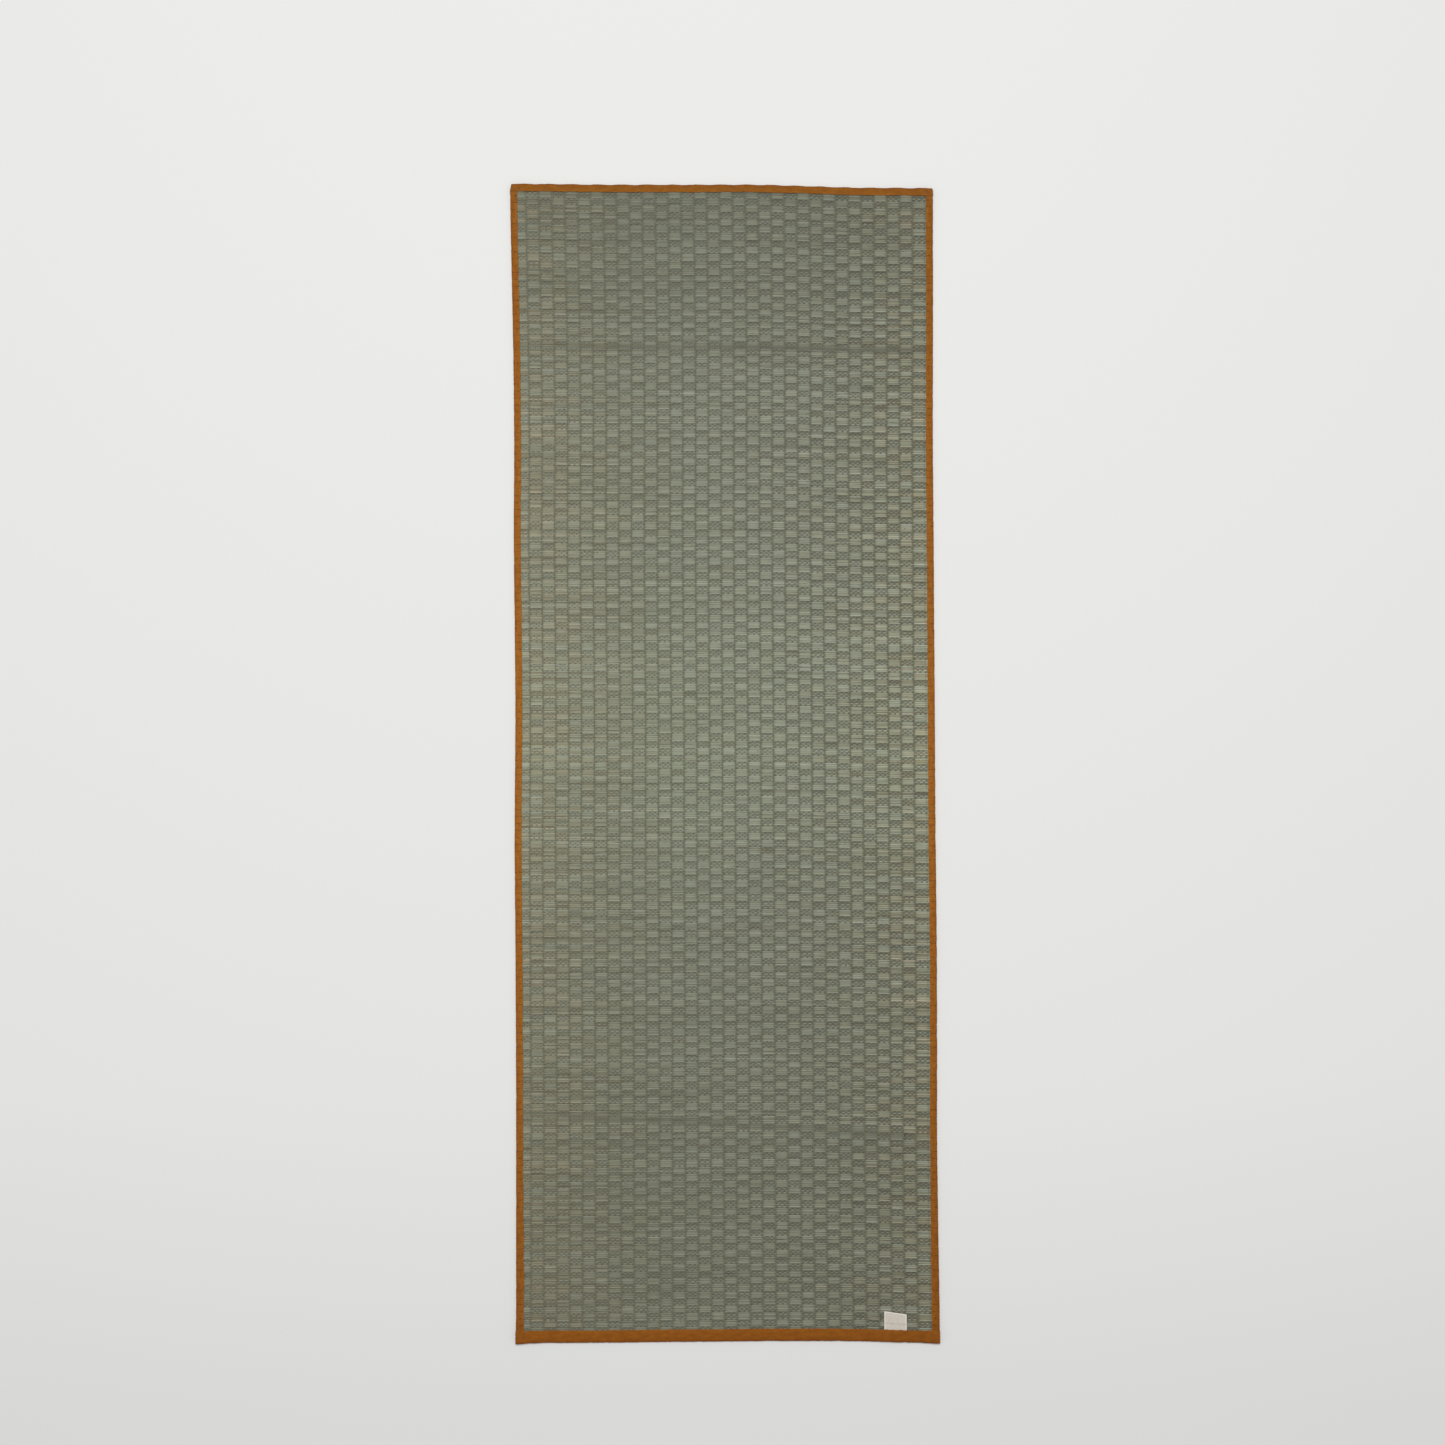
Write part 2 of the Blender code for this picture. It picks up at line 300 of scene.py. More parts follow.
def stretched(tree, first, first_size, second, second_size):
    """A vector for noise, in which each of these sizes counts as one."""
    return add_node(tree, "ShaderNodeCombineXYZ", links={
        "X": maths(tree, "MULTIPLY", first, 1.0 / first_size),
        "Y": maths(tree, "MULTIPLY", second, 1.0 / second_size),
    }).outputs[0]


def noise(tree, vector, scale=1.0, detail=2.0, roughness=0.5):
    settings = {"Scale": scale, "Detail": detail, "Roughness": roughness}
    return add_node(tree, "ShaderNodeTexNoise", settings, {"Vector": vector}).outputs["Fac"]


def random_by(tree, first, second=None):
    """A random value from 0 to 1 for each number, or for each pair of numbers."""
    if second is None:
        node = add_node(tree, "ShaderNodeTexWhiteNoise", {"noise_dimensions": "1D"}, {"W": first})
    else:
        pair = add_node(tree, "ShaderNodeCombineXYZ", links={"X": first, "Y": second})
        node = add_node(tree, "ShaderNodeTexWhiteNoise", {"noise_dimensions": "2D"},
                        {"Vector": pair.outputs[0]})
    return node.outputs["Value"]


def ramp(tree, factor, stops):
    """A colour for each factor, from stops of a position and a hex colour."""
    node = add_node(tree, "ShaderNodeValToRGB", links={"Fac": factor})
    elements = node.color_ramp.elements
    while len(elements) < len(stops):
        elements.new(0.5)
    for element, (position, colour) in zip(elements, stops):
        element.position = position
        element.color = linear(colour)
    return node.outputs["Color"]


def mix_colour(tree, factor, first, second):
    node = add_node(tree, "ShaderNodeMix", {"data_type": "RGBA"})
    for socket, term in ((node.inputs[0], factor), (node.inputs[6], first), (node.inputs[7], second)):
        if isinstance(term, (int, float, tuple)):
            socket.default_value = term
        else:
            tree.links.new(term, socket)
    return node.outputs[2]


def tint_colour(tree, colour, tint):
    """The colour times another colour."""
    settings = {"data_type": "RGBA", "blend_type": "MULTIPLY", 0: 1.0}
    return add_node(tree, "ShaderNodeMix", settings, {6: colour, 7: tint}).outputs[2]


def multiply_colour(tree, colour, factor):
    """The colour times a grey factor."""
    grey = add_node(tree, "ShaderNodeCombineColor", links={"Red": factor, "Green": factor, "Blue": factor})
    return tint_colour(tree, colour, grey.outputs[0])


def light_and_tint_by_place(tree, colour, along_stops, across_stops):
    """Slow painted light and tint over the mat, one along its length and one across its width."""
    x, y = split(tree, object_place(tree))
    along = ramp(tree, maths(tree, "MULTIPLY_ADD", y, 0.5, 0.5), along_stops)
    across = ramp(tree, maths(tree, "MULTIPLY_ADD", x, 1.0, 0.5), across_stops)
    return tint_colour(tree, tint_colour(tree, colour, along), across)


def plain_weave(tree, along, across, pitch_along, pitch_across):
    """Height of plain-woven cloth: threads one way rise where the threads the other way sink."""
    one_way, other_way = [
        maths(tree, "SINE", maths(tree, "MULTIPLY", way, math.pi / pitch))
        for way, pitch in ((along, pitch_along), (across, pitch_across))
    ]
    return maths(tree, "MULTIPLY", one_way, other_way)


def surface(tree, colour, roughness, shine, height=None, strength=0.5, distance=0.0002):
    """The shader and the output, with small relief where a height is given."""
    links = {"Base Color": colour}
    if height is not None:
        relief = {"Strength": strength, "Distance": distance}
        links["Normal"] = add_node(tree, "ShaderNodeBump", relief, {"Height": height}).outputs[0]
    settings = {"Roughness": roughness, "Specular IOR Level": shine}
    shader = add_node(tree, "ShaderNodeBsdfPrincipled", settings, links)
    add_node(tree, "ShaderNodeOutputMaterial", links={"Surface": shader.outputs[0]})


def mottled_material(name, scale, dark, pale, roughness, shine):
    """A matt material that wanders between two colours."""
    material, tree = new_material(name)
    mottle = noise(tree, object_place(tree), scale)
    surface(tree, ramp(tree, mottle, ((0.3, dark), (0.7, pale))), roughness, shine)
    return material


print("steps for materials ready")

# %% [markdown]
# Dried igusa rush is a smooth, dry stem with a low satin shine. No two stems have one colour:
# most are grey-green, some are straw, a few are brown, and each changes slowly along its length.
# The stem's own number, kept in the second UV coordinate, gives it a tint of its own, and long
# thin noise gives it its fibres. Points deep in the weave are painted darker, mostly as painted
# shade and a little as dust.

# %% Material: dried igusa rush
COLUMN_PITCH = 20.054
FIRST_BORDER = -306.3
STEM_TINTS = (
    (0.00, "#66604c"),
    (0.20, "#878671"),
    (0.48, "#a3a690"),
    (0.72, "#b6b9a5"),
    (0.88, "#d1ccb9"),
    (1.00, "#efe2cb"),
)
MIDDLE_TINT = 0.46
# How far the tint swings, in the middle of the mat's width and at its sides: from stem to stem,
# from block to block, and slowly along each stem.
STEM_SWING = (0.20, 0.34)
BLOCK_SWING = (0.16, 0.30)
SLOW_SWING = (0.66, 0.92)
SLOW_LENGTH = 150.0
SLOW_STEMS = 1.0 / 3.7
# Some stems dried grey-green and some straw-coloured.
STEM_CASTS = ((0.0, "#effbff"), (0.5, "#fcf9f2"), (1.0, "#fff0dd"))
CAST_BY_STEM = 0.60
CAST_IN_MIDDLE = 0.18
PATCH_STEMS = 8
# Fibres and spots: sizes in millimetres along the stem and in stems across it.
FIBRE_LENGTH = 7.0
FIBRE_WIDTH = 0.25
FIBRE_SHARE = 0.5
FIBRE_HEIGHT = 0.35
SPOT_LENGTH = 2.2
SPOT_CHANCE = 0.0012
SPOT_SHARE = 0.7
SPOT_COLOUR = "#8a5a34"
# Painted shade in the hollows: brightness of the deepest, and the value of the painted shade
# attribute at which the brightness stays the same all over the mat.
DARKEST_PAINTED_SHADE = 0.40
MIDDLE_PAINTED_SHADE = 0.55
PAINTED_SHADE_BY_SIDE = 0.75
PAINTED_SHADE_BY_END = 0.06
# Painted light: the rush is painted palest in the middle of its length, where the light is
# strongest, and darkest at its top end as the painted shadow of the tape. Across, it is warmest at
# its left side, and painted lighter next to both side tapes to lift their shade.
RUSH_PAINTED_LIGHT_ALONG = (
    (0.105, "#dcdad8"),
    (0.237, "#e2e1df"),
    (0.369, "#e8e8e7"),
    (0.50, "#fdfffd"),
    (0.632, "#f4f5f4"),
    (0.764, "#ededed"),
    (0.896, "#dadada"),
    (0.932, "#d8d8d8"),
    (0.945, "#cecdcb"),
)
RUSH_TINT_AND_PAINTED_LIGHT_ACROSS = (
    (0.18, "#fffeff"),
    (0.20, "#f9f5f3"),
    (0.34, "#edeceb"),
    (0.42, "#edefee"),
    (0.68, "#eeeff0"),
    (0.80, "#f7f5f5"),
    (0.815, "#ffffff"),
)
# Faint bands cross the mat where one bundle of rush gave way to the next. Sizes in metres.
BAND_WIDTH = 1.0 / 1.5
BAND_DEPTH = 1.0 / 40.0
BAND_SHARE = 0.16
BAND_LOW = 1.04


def rush_material(name):
    material, tree = new_material(name)
    length, across = split(tree, stem_place(tree))
    x, y = split(tree, object_place(tree))
    # 0 in the middle of the mat's width and 1 at its sides, where the thin and thick ends of the
    # stems lie. to_end is the same for the length, and is 1 from a third of a metre on.
    to_side = maths(tree, "POWER", maths(tree, "MULTIPLY", x, 3.0), 2.0, clamp=True)
    to_end = maths(tree, "POWER", maths(tree, "MULTIPLY", y, 3.0), 2.0, clamp=True)
    stem = maths(tree, "FLOOR", across)
    own_place = maths(tree, "SUBTRACT", across, stem)
    # A stem rolls over where it crosses a border, so each block shows another side of it.
    from_border = maths(tree, "MULTIPLY_ADD", length, 1.0 / COLUMN_PITCH, -FIRST_BORDER / COLUMN_PITCH)
    block = maths(tree, "FLOOR", from_border)
    tint = MIDDLE_TINT
    for value, (in_middle, at_side) in (
        (random_by(tree, stem), STEM_SWING),
        (random_by(tree, stem, block), BLOCK_SWING),
        (noise(tree, stretched(tree, length, SLOW_LENGTH, stem, SLOW_STEMS)), SLOW_SWING),
    ):
        share = maths(tree, "MULTIPLY_ADD", to_side, at_side - in_middle, in_middle)
        tint = maths(tree, "MULTIPLY_ADD", maths(tree, "SUBTRACT", value, 0.5), share, tint)
    colour = ramp(tree, tint, STEM_TINTS)
    # A stem's cast is partly its own and partly its patch's, and shows most towards the sides.
    patch = maths(tree, "FLOOR", maths(tree, "MULTIPLY", stem, 1.0 / PATCH_STEMS))
    cast = maths(tree, "MULTIPLY", random_by(tree, block, patch), 1.0 - CAST_BY_STEM)
    own_cast = random_by(tree, maths(tree, "ADD", stem, 0.5))
    cast = maths(tree, "MULTIPLY_ADD", own_cast, CAST_BY_STEM, cast)
    cast_share = maths(tree, "MULTIPLY_ADD", to_side, 1.0 - CAST_IN_MIDDLE, CAST_IN_MIDDLE)
    cast_colour = mix_colour(tree, cast_share, linear("#ffffff"), ramp(tree, cast, STEM_CASTS))
    colour = tint_colour(tree, colour, cast_colour)
    # Fibres: noise that is long along the stem and short across it.
    fibre = noise(tree, stretched(tree, length, FIBRE_LENGTH, across, FIBRE_WIDTH), detail=3.0)
    streak = maths(tree, "MULTIPLY_ADD", fibre, FIBRE_SHARE, 1.0 - 0.5 * FIBRE_SHARE)
    colour = multiply_colour(tree, colour, streak)
    # Here and there a stem has a small red-brown spot, where it was bruised before it dried.
    spot_place = maths(tree, "FLOOR", maths(tree, "MULTIPLY", length, 1.0 / SPOT_LENGTH))
    spotted = maths(tree, "GREATER_THAN", random_by(tree, spot_place, stem), 1.0 - SPOT_CHANCE)
    colour = mix_colour(tree, maths(tree, "MULTIPLY", spotted, SPOT_SHARE), colour, linear(SPOT_COLOUR))
    # Painted shade: the hollows are painted darker than the tops of the wefts. The stems lie flatter
    # towards the left and in the middle of the length, so the painted shade is weaker there.
    painted_shade_contrast = maths(tree, "MULTIPLY_ADD", to_end, PAINTED_SHADE_BY_END, 1.0 - DARKEST_PAINTED_SHADE - PAINTED_SHADE_BY_END)
    painted_shade_contrast = maths(tree, "MULTIPLY_ADD", x, PAINTED_SHADE_BY_SIDE, painted_shade_contrast)
    over_middle = maths(tree, "SUBTRACT", attribute(tree, "painted_shade"), MIDDLE_PAINTED_SHADE)
    middle_shade = 1.0 - (1.0 - DARKEST_PAINTED_SHADE) * (1.0 - MIDDLE_PAINTED_SHADE)
    colour = multiply_colour(tree, colour, maths(tree, "MULTIPLY_ADD", over_middle, painted_shade_contrast, middle_shade))
    colour = light_and_tint_by_place(tree, colour, RUSH_PAINTED_LIGHT_ALONG, RUSH_TINT_AND_PAINTED_LIGHT_ACROSS)
    band = noise(tree, stretched(tree, x, BAND_WIDTH, y, BAND_DEPTH))
    colour = multiply_colour(tree, colour, maths(tree, "MULTIPLY_ADD", band, BAND_SHARE, BAND_LOW))
    # Each stem is round: its height falls off at both its edges.
    middle = maths(tree, "SUBTRACT", own_place, 0.5)
    round_top = maths(tree, "MULTIPLY_ADD", maths(tree, "MULTIPLY", middle, middle), -4.0, 1.0)
    height = maths(tree, "MULTIPLY_ADD", fibre, FIBRE_HEIGHT, round_top)
    surface(tree, colour, 0.62, 0.35, height, strength=0.6, distance=0.00035)
    return material


rush = rush_material("dried igusa rush")
print("material:", rush.name)

# %% [markdown]
# The weave. A row of blocks is about 11 mm deep and holds four weft pairs, and a column is 20 mm
# wide. Each weft pair is a strip with a raised middle. Where it floats it stays high for a whole
# column. In a beaded block it goes up over one warp and down under the next, and it is wide where
# it is up and narrow where it is down. At each column's border all the wefts dip. A strip needs
# only the points where it turns, so the table below lists those, and a loop repeats them.

# %% Where a weft pair turns, in each kind of block
COLUMN_COUNT = 32
ROW_PITCH = 10.85
FIRST_ROW_TOP = 903.45
ROW_COUNT = 167
PICKS_IN_ROW = 4
ROW_UNEVENNESS = 0.07
LEAST_ROW = 0.8
MOST_ROW = 1.22

# Height and half width of the strip at a column's border, and under the side tapes where it ends.
BORDER_TURN = (1.30, 1.34)
END_TURN = (1.5, 1.3)
END_MARGIN = 0.5
# Distance from the column's border, height and half width of the strip, in millimetres.
FLOAT_TURNS = (
    (1.3, 1.74, 1.32),
    (2.9, 2.13, 1.42),
    (10.0, 2.20, 1.42),
    (17.1, 2.13, 1.42),
    (18.7, 1.74, 1.32),
)
OVER_FIRST_TURNS = (
    (1.4, 1.66, 1.60),
    (4.1, 1.72, 1.66),
    (6.9, 0.95, 0.75),
    (9.2, 1.74, 1.66),
    (12.0, 1.74, 1.66),
    (14.6, 0.95, 0.75),
    (17.0, 1.72, 1.66),
    (18.9, 1.66, 1.60),
)
UNDER_FIRST_TURNS = (
    (2.7, 0.95, 0.75),
    (5.4, 1.74, 1.66),
    (8.2, 1.74, 1.66),
    (10.6, 0.95, 0.75),
    (13.2, 1.74, 1.66),
    (16.0, 1.74, 1.66),
    (18.5, 0.95, 0.75),
)
# The last column has no border at its right. It runs on until it is under the tape.
LAST_FLOAT_TURNS = ((1.0, 2.17, 1.42),)
LAST_OVER_TURNS = ((1.3, 1.74, 1.62), (4.6, 1.70, 1.60))
LAST_UNDER_TURNS = ((2.2, 1.78, 1.72), (6.0, 1.60, 1.50))
# The wefts are beaten one way, so a block of floats is highest at its last weft, and the first
# weft of the block below it lies deepest.
FLOAT_TILT = (-0.10, -0.02, 0.02, 0.08)
BEAD_TILT = (-0.34, -0.06, 0.0, 0.04)
PANEL_EDGE_X = HALF_WIDTH - PANEL_INSET
PANEL_EDGE_Y = HALF_LENGTH - PANEL_INSET


def border(column):
    """Where the column starts."""
    return FIRST_BORDER + (column - 1) * COLUMN_PITCH


def in_every_column(turns):
    """Turns that are the same in every column, for the whole mat."""
    return [(border(column) + far, *rest) for column in range(COLUMN_COUNT) for far, *rest in turns]


def pick_turns(row_is_odd, pick):
    """The turns of one weft pair across the whole mat, as rows of x, height and half width."""
    turns = []
    for column in range(COLUMN_COUNT + 1):
        start = border(column)
        runs_on = column == COLUMN_COUNT
        floats = (column - runs_on + row_is_odd) % 2 == 1
        if floats:
            block, tilt = (FLOAT_TURNS, LAST_FLOAT_TURNS)[runs_on], FLOAT_TILT[pick]
        elif pick % 2:
            block, tilt = (UNDER_FIRST_TURNS, LAST_UNDER_TURNS)[runs_on], BEAD_TILT[pick]
        else:
            block, tilt = (OVER_FIRST_TURNS, LAST_OVER_TURNS)[runs_on], BEAD_TILT[pick]
        if not runs_on:
            turns.append((start, *BORDER_TURN))
        turns += [(start + far, high + tilt, half) for far, high, half in block]
    turns = [turn for turn in turns if abs(turn[0]) < PANEL_EDGE_X - END_MARGIN]
    return np.array([(-PANEL_EDGE_X, *END_TURN)] + turns + [(PANEL_EDGE_X, *END_TURN)])


# The columns wander a little sideways on their way along the mat, by this many millimetres.
DRIFT_Y = (-903, -785, -600, -325, -65, 170, 495, 790, 903)
DRIFT = (0.5, 0.6, 1.0, 0.9, 1.5, 1.0, 1.65, 2.1, 2.1)
DRIFT_IN_MIDDLE = 1.15
DRIFT_LOST_AT_SIDE = 0.4
DRIFT_FADE = 14.0


def column_drift(x, y):
    """How far the weave is moved sideways here: most in the middle, and nothing at the edges."""
    share = DRIFT_IN_MIDDLE - DRIFT_LOST_AT_SIDE * (x / HALF_WIDTH) ** 2
    return curve_through(DRIFT_Y, DRIFT, y) * share * ease((HALF_WIDTH - np.abs(x)) / DRIFT_FADE)


rng = np.random.default_rng(7)
row_heights = np.clip(rng.normal(1.0, ROW_UNEVENNESS, ROW_COUNT), LEAST_ROW, MOST_ROW)
row_heights *= ROW_PITCH * ROW_COUNT / row_heights.sum()
row_tops = FIRST_ROW_TOP - np.concatenate([[0.0], np.cumsum(row_heights)[:-1]])
print("rows:", ROW_COUNT, "turns in a weft:", len(pick_turns(0, 0)), "and", len(pick_turns(0, 1)))

# %% [markdown]
# Each weft pair becomes a strip three points wide. The strips of one kind are worked out together
# as arrays, with a little unevenness for each weft and each turn, and the mat is cut into a few
# pieces along its length only to keep each mesh light.

# %% Build the weave
WEAVE_PIECES = 4
STEMS_IN_WEFT = 2
# A strip's edges lie lower than its middle, by this share of their distance from it.
EDGE_DROP = 0.45
# A weft this high or lower gets the full painted shade.
LOWEST_TURN = 0.9
LOWEST_WEFT = 0.6
WEFT_MARGIN = 1.0
# Painted shade across a strip: how much of its brightness it keeps at its upper edge, in its
# middle and at its lower edge.
EDGE_SHADES = np.array([0.35, 1.0, 0.25])
# How much darker the painted shade gets where a crease presses the weft flat.
PRESSED_SHADE = 2.9
# Unevenness of a turn's place, height and width, and of a whole weft's height and line.
TURN_SHIFT = 0.14
FLAT_FROM = 1.9
BEAD_UNEVENNESS = 0.11
FLOAT_UNEVENNESS = 0.05
WIDTH_UNEVENNESS = 0.06
WEFT_UNEVENNESS = 0.05
# Slow random waves are given by their step and their size, in millimetres.
WEFT_WANDER = (18.0, 0.13)


def slow_noise(count, length, places, step, size):
    """Smooth random waves: one line of them for each of count threads, read at places."""
    knots = rng.normal(0.0, size, (count, int(length / step) + 3))
    at = (places + length / 2.0) / step
    low = np.clip(at.astype(int), 0, knots.shape[1] - 2)
    share = ease(at - low)
    return knots[:, low] * (1.0 - share) + knots[:, low + 1] * share


def strip_faces(count, steps, columns):
    """Faces of count strips, each with this many steps of so many points."""
    one = grid_faces(steps, columns).reshape(-1, 4)
    return one[None] + (np.arange(count) * steps * columns)[:, None, None]


def weft_strips(odd, pick, rows):
    """Points, UVs and painted shade of one pick in each odd row, or in each even one."""
    own_rows = [r for r in rows if r % 2 == odd]
    share = (pick + 0.5) / PICKS_IN_ROW
    middle = np.array([row_tops[r] - share * row_heights[r] for r in own_rows])
    thick = np.array([row_heights[r] / ROW_PITCH for r in own_rows])
    number = np.array([r * PICKS_IN_ROW + pick for r in own_rows])
    inside = np.abs(middle) < PANEL_EDGE_Y - WEFT_MARGIN
    middle, thick, number = middle[inside], thick[inside], number[inside]
    turns = pick_turns(odd, pick)
    shape = (len(middle), len(turns))
    x = turns[:, 0] + rng.normal(0.0, TURN_SHIFT, shape)
    x[:, 0] = -PANEL_EDGE_X
    x[:, -1] = PANEL_EDGE_X
    y = middle[:, None] + slow_noise(len(middle), 2 * HALF_WIDTH, turns[:, 0], *WEFT_WANDER)
    unevenness = np.where(turns[:, 1] < FLAT_FROM, BEAD_UNEVENNESS, FLOAT_UNEVENNESS)
    level = turns[:, 1] + rng.normal(0.0, 1.0, shape) * unevenness
    level = level + rng.normal(0.0, WEFT_UNEVENNESS, (len(middle), 1))
    half = turns[:, 2] * thick[:, None] * (1.0 + rng.normal(0.0, WIDTH_UNEVENNESS, shape))
    # Painted shade: the lower a turn lies, the darker the weft is painted there.
    painted_shade = np.clip((level - LOWEST_TURN) / (PANEL_THICK - LOWEST_TURN), 0.0, 1.0)
    strip = np.stack([half, np.zeros_like(half), -half], axis=-1)
    py = y[..., None] + strip
    px = np.broadcast_to(x[..., None], py.shape)
    pressed = pressed_line(px, py)
    keep = squeeze(px, py) * (1.0 - pressed)
    # Pressed or not, a weft never sinks into the core below it.
    pz = np.maximum((level[..., None] - EDGE_DROP * np.abs(strip)) * keep, LOWEST_WEFT)
    points = place(px + column_drift(px, py), py, pz + underside(px, py))
    stem_number = STEMS_IN_WEFT * number[:, None, None] + np.array([0.0, 1.0, 2.0])
    uv = np.stack([px, np.broadcast_to(stem_number, px.shape)], axis=-1)
    # Painted shade, darkest at the strip's edges and where a crease presses it flat.
    painted_shades = painted_shade[..., None] * EDGE_SHADES * (1.0 - PRESSED_SHADE * pressed)
    return points, uv, painted_shades


def weave_piece(name, rows, material):
    """The weft pairs of these rows as one mesh."""
    points, uvs, painted_shades, faces = [], [], [], []
    first = 0
    for odd in (0, 1):
        for pick in range(PICKS_IN_ROW):
            own_points, uv, painted_shade = weft_strips(odd, pick, rows)
            count, steps = painted_shade.shape[:2]
            points.append(own_points.reshape(-1, 3))
            uvs.append(uv.reshape(-1, 2))
            painted_shades.append(painted_shade.ravel())
            faces.append(first + strip_faces(count, steps, 3)[..., ::-1].reshape(-1, 4))
            first += count * steps * 3
    return mesh_object(name, np.concatenate(points), np.concatenate(faces), material,
                       np.concatenate(uvs), {"painted_shade": np.concatenate(painted_shades)})


weave = []
for part in range(WEAVE_PIECES):
    rows = range(part * ROW_COUNT // WEAVE_PIECES, (part + 1) * ROW_COUNT // WEAVE_PIECES)
    weave.append(weave_piece(f"rush_weave_{part + 1}", rows, rush))
    print(weave[-1].name, 2 * len(weave[-1].data.polygons), "triangles")

# %% [markdown]
# Under the wefts lies the mat's core, which shows only in the gaps between them. On the real mat
# it is the lower half of the same rush in shade, so one thin sheet, painted dark as painted shade,
# stands for it. It also carries the mat's flat size, which is the size the rush was woven to. A
# sheet starts as a flat grid, stretched to its size in edit mode. Then each of its points is set
# down at its own height, and Solidify gives the cloth its thickness.

# %% A sheet from a grid
def flat_sheet(name, cells, x_limits, y_limits):
    """A grid stretched to these limits in millimetres, with its origin left at zero."""
    bpy.ops.object.select_all(action="DESELECT")
    bpy.ops.mesh.primitive_grid_add(x_subdivisions=cells[0], y_subdivisions=cells[1], size=1.0)
    sheet = bpy.context.active_object
    sheet.name = sheet.data.name = name
    width, length = [(high - low) * MM for low, high in (x_limits, y_limits)]
    bpy.ops.object.mode_set(mode="EDIT")
    bpy.ops.mesh.select_all(action="SELECT")
    bpy.ops.transform.resize(value=(width, length, 1.0), center_override=(0.0, 0.0, 0.0))
    bpy.ops.transform.translate(value=(0.5 * sum(x_limits) * MM, 0.5 * sum(y_limits) * MM, 0.0))
    bpy.ops.object.mode_set(mode="OBJECT")
    return sheet


def set_down(sheet, x, y, z):
    """Sets the sheet's points on the real mat."""
    sheet.data.vertices.foreach_set("co", place(x, y, z).ravel())
    sheet.data.update()


def give_thickness(sheet, thickness, side):
    """Solidify, applied: side 1 thickens the sheet upwards and -1 downwards."""
    modifier = sheet.modifiers.new("Thickness", "SOLIDIFY")
    modifier.thickness = thickness * MM
    modifier.offset = side
    bpy.context.view_layer.objects.active = sheet
    bpy.ops.object.modifier_apply(modifier=modifier.name)
    sheet.data.shade_smooth()


print("sheet helpers ready")

# %% The core of the mat
CORE_LOW = 0.30
CORE_HIGH = 0.55
CORE_CELLS = (44, 150)

core = flat_sheet("rush_core", CORE_CELLS, (-PANEL_EDGE_X, PANEL_EDGE_X), (-PANEL_EDGE_Y, PANEL_EDGE_Y))
core_x, core_y, _ = points_of(core).T
set_down(core, core_x, core_y, underside(core_x, core_y) + CORE_LOW)
give_thickness(core, CORE_HIGH - CORE_LOW, 1.0)
# Its colour is painted shade: the dark of the rush that lies below the wefts.
core.data.materials.append(mottled_material("rush core in painted shade", 300.0, "#3a3a2e", "#4d4c3d", 0.85, 0.2))
print(core.name, len(core.data.polygons), "faces")

# %% [markdown]
# The underside of the mat has the same weave. It is seen only when the mat is picked up, so its
# wefts are simpler: flat ribbons that turn twice in each column.

# %% The wefts of the underside
# Distance from the column's border, height and half width, as above.
BACK_TURNS = ((0.0, 0.22, 1.15), (10.0, 0.03, 1.25))
BACK_END = (0.2, 1.2)
BACK_TOP = 0.24
BACK_UNEVENNESS = 0.04
BACK_TILT = 0.05
BACK_MARGIN = 1.5
# The ribbons are painted darker, as painted shade, where they turn up into the mat.
BACK_PAINTED_SHADES = (0.5, 0.9)


def back_weave(material):
    turns = [turn for turn in in_every_column(BACK_TURNS) if abs(turn[0]) <= PANEL_EDGE_X]
    turns = np.array([(-PANEL_EDGE_X, *BACK_END)] + turns + [(PANEL_EDGE_X, *BACK_END)])
    share = (np.arange(PICKS_IN_ROW) + 0.5) / PICKS_IN_ROW
    middle = (row_tops[:, None] - share * row_heights[:, None]).ravel()
    middle = middle[np.abs(middle) < PANEL_EDGE_Y - BACK_MARGIN]
    count, steps = len(middle), len(turns)
    half = np.broadcast_to(turns[:, 2], (count, steps))
    py = middle[:, None, None] + np.stack([half, -half], axis=-1)
    px = np.broadcast_to(turns[:, 0][None, :, None], py.shape)
    level = turns[:, 1] + np.abs(rng.normal(0.0, BACK_UNEVENNESS, (count, steps)))
    pz = underside(px, py) + np.minimum(level, BACK_TOP)[..., None] + np.array([BACK_TILT, 0.0])
    stem_number = STEMS_IN_WEFT * np.arange(count)[:, None, None] + np.array([0.0, 2.0])
    uv = np.stack([px, np.broadcast_to(stem_number, px.shape)], axis=-1)
    painted_shade = np.broadcast_to(np.where(turns[:, 1] > 0.1, *BACK_PAINTED_SHADES)[None, :, None], px.shape)
    points = place(px + column_drift(px, py), py, pz)
    return mesh_object("rush_back", points, strip_faces(count, steps, 2), material, uv, {"painted_shade": painted_shade})


back = back_weave(rush)
print(back.name, 2 * len(back.data.polygons), "triangles")

# %% [markdown]
# The warps run the length of the mat. One lies at each place where the wefts dip, and it is seen
# there for a millimetre at a time. A pair of them lies in each column's border, where every weft
# goes under, and draws the dark line that parts the columns. The threads are a dull olive, painted
# darker in part as painted shade of the recess they lie in.

# %% The warps
WARP_PLACES = (2.7, 6.9, 10.6, 14.6, 18.5)
WARP_HALF = 0.30
WARP_HEIGHT = 1.12
BORDER_WARP_HALF = 0.36
BORDER_WARP_HEIGHT = 1.45
BORDER_WARP_PLACES = (-0.42, 0.42)
WARP_STATIONS = 61
WARP_EDGE_DROP = 0.25
WARP_MARGIN = 1.0
WARP_WANDER = (60.0, 0.12)
TWIST_LENGTH = 1.6


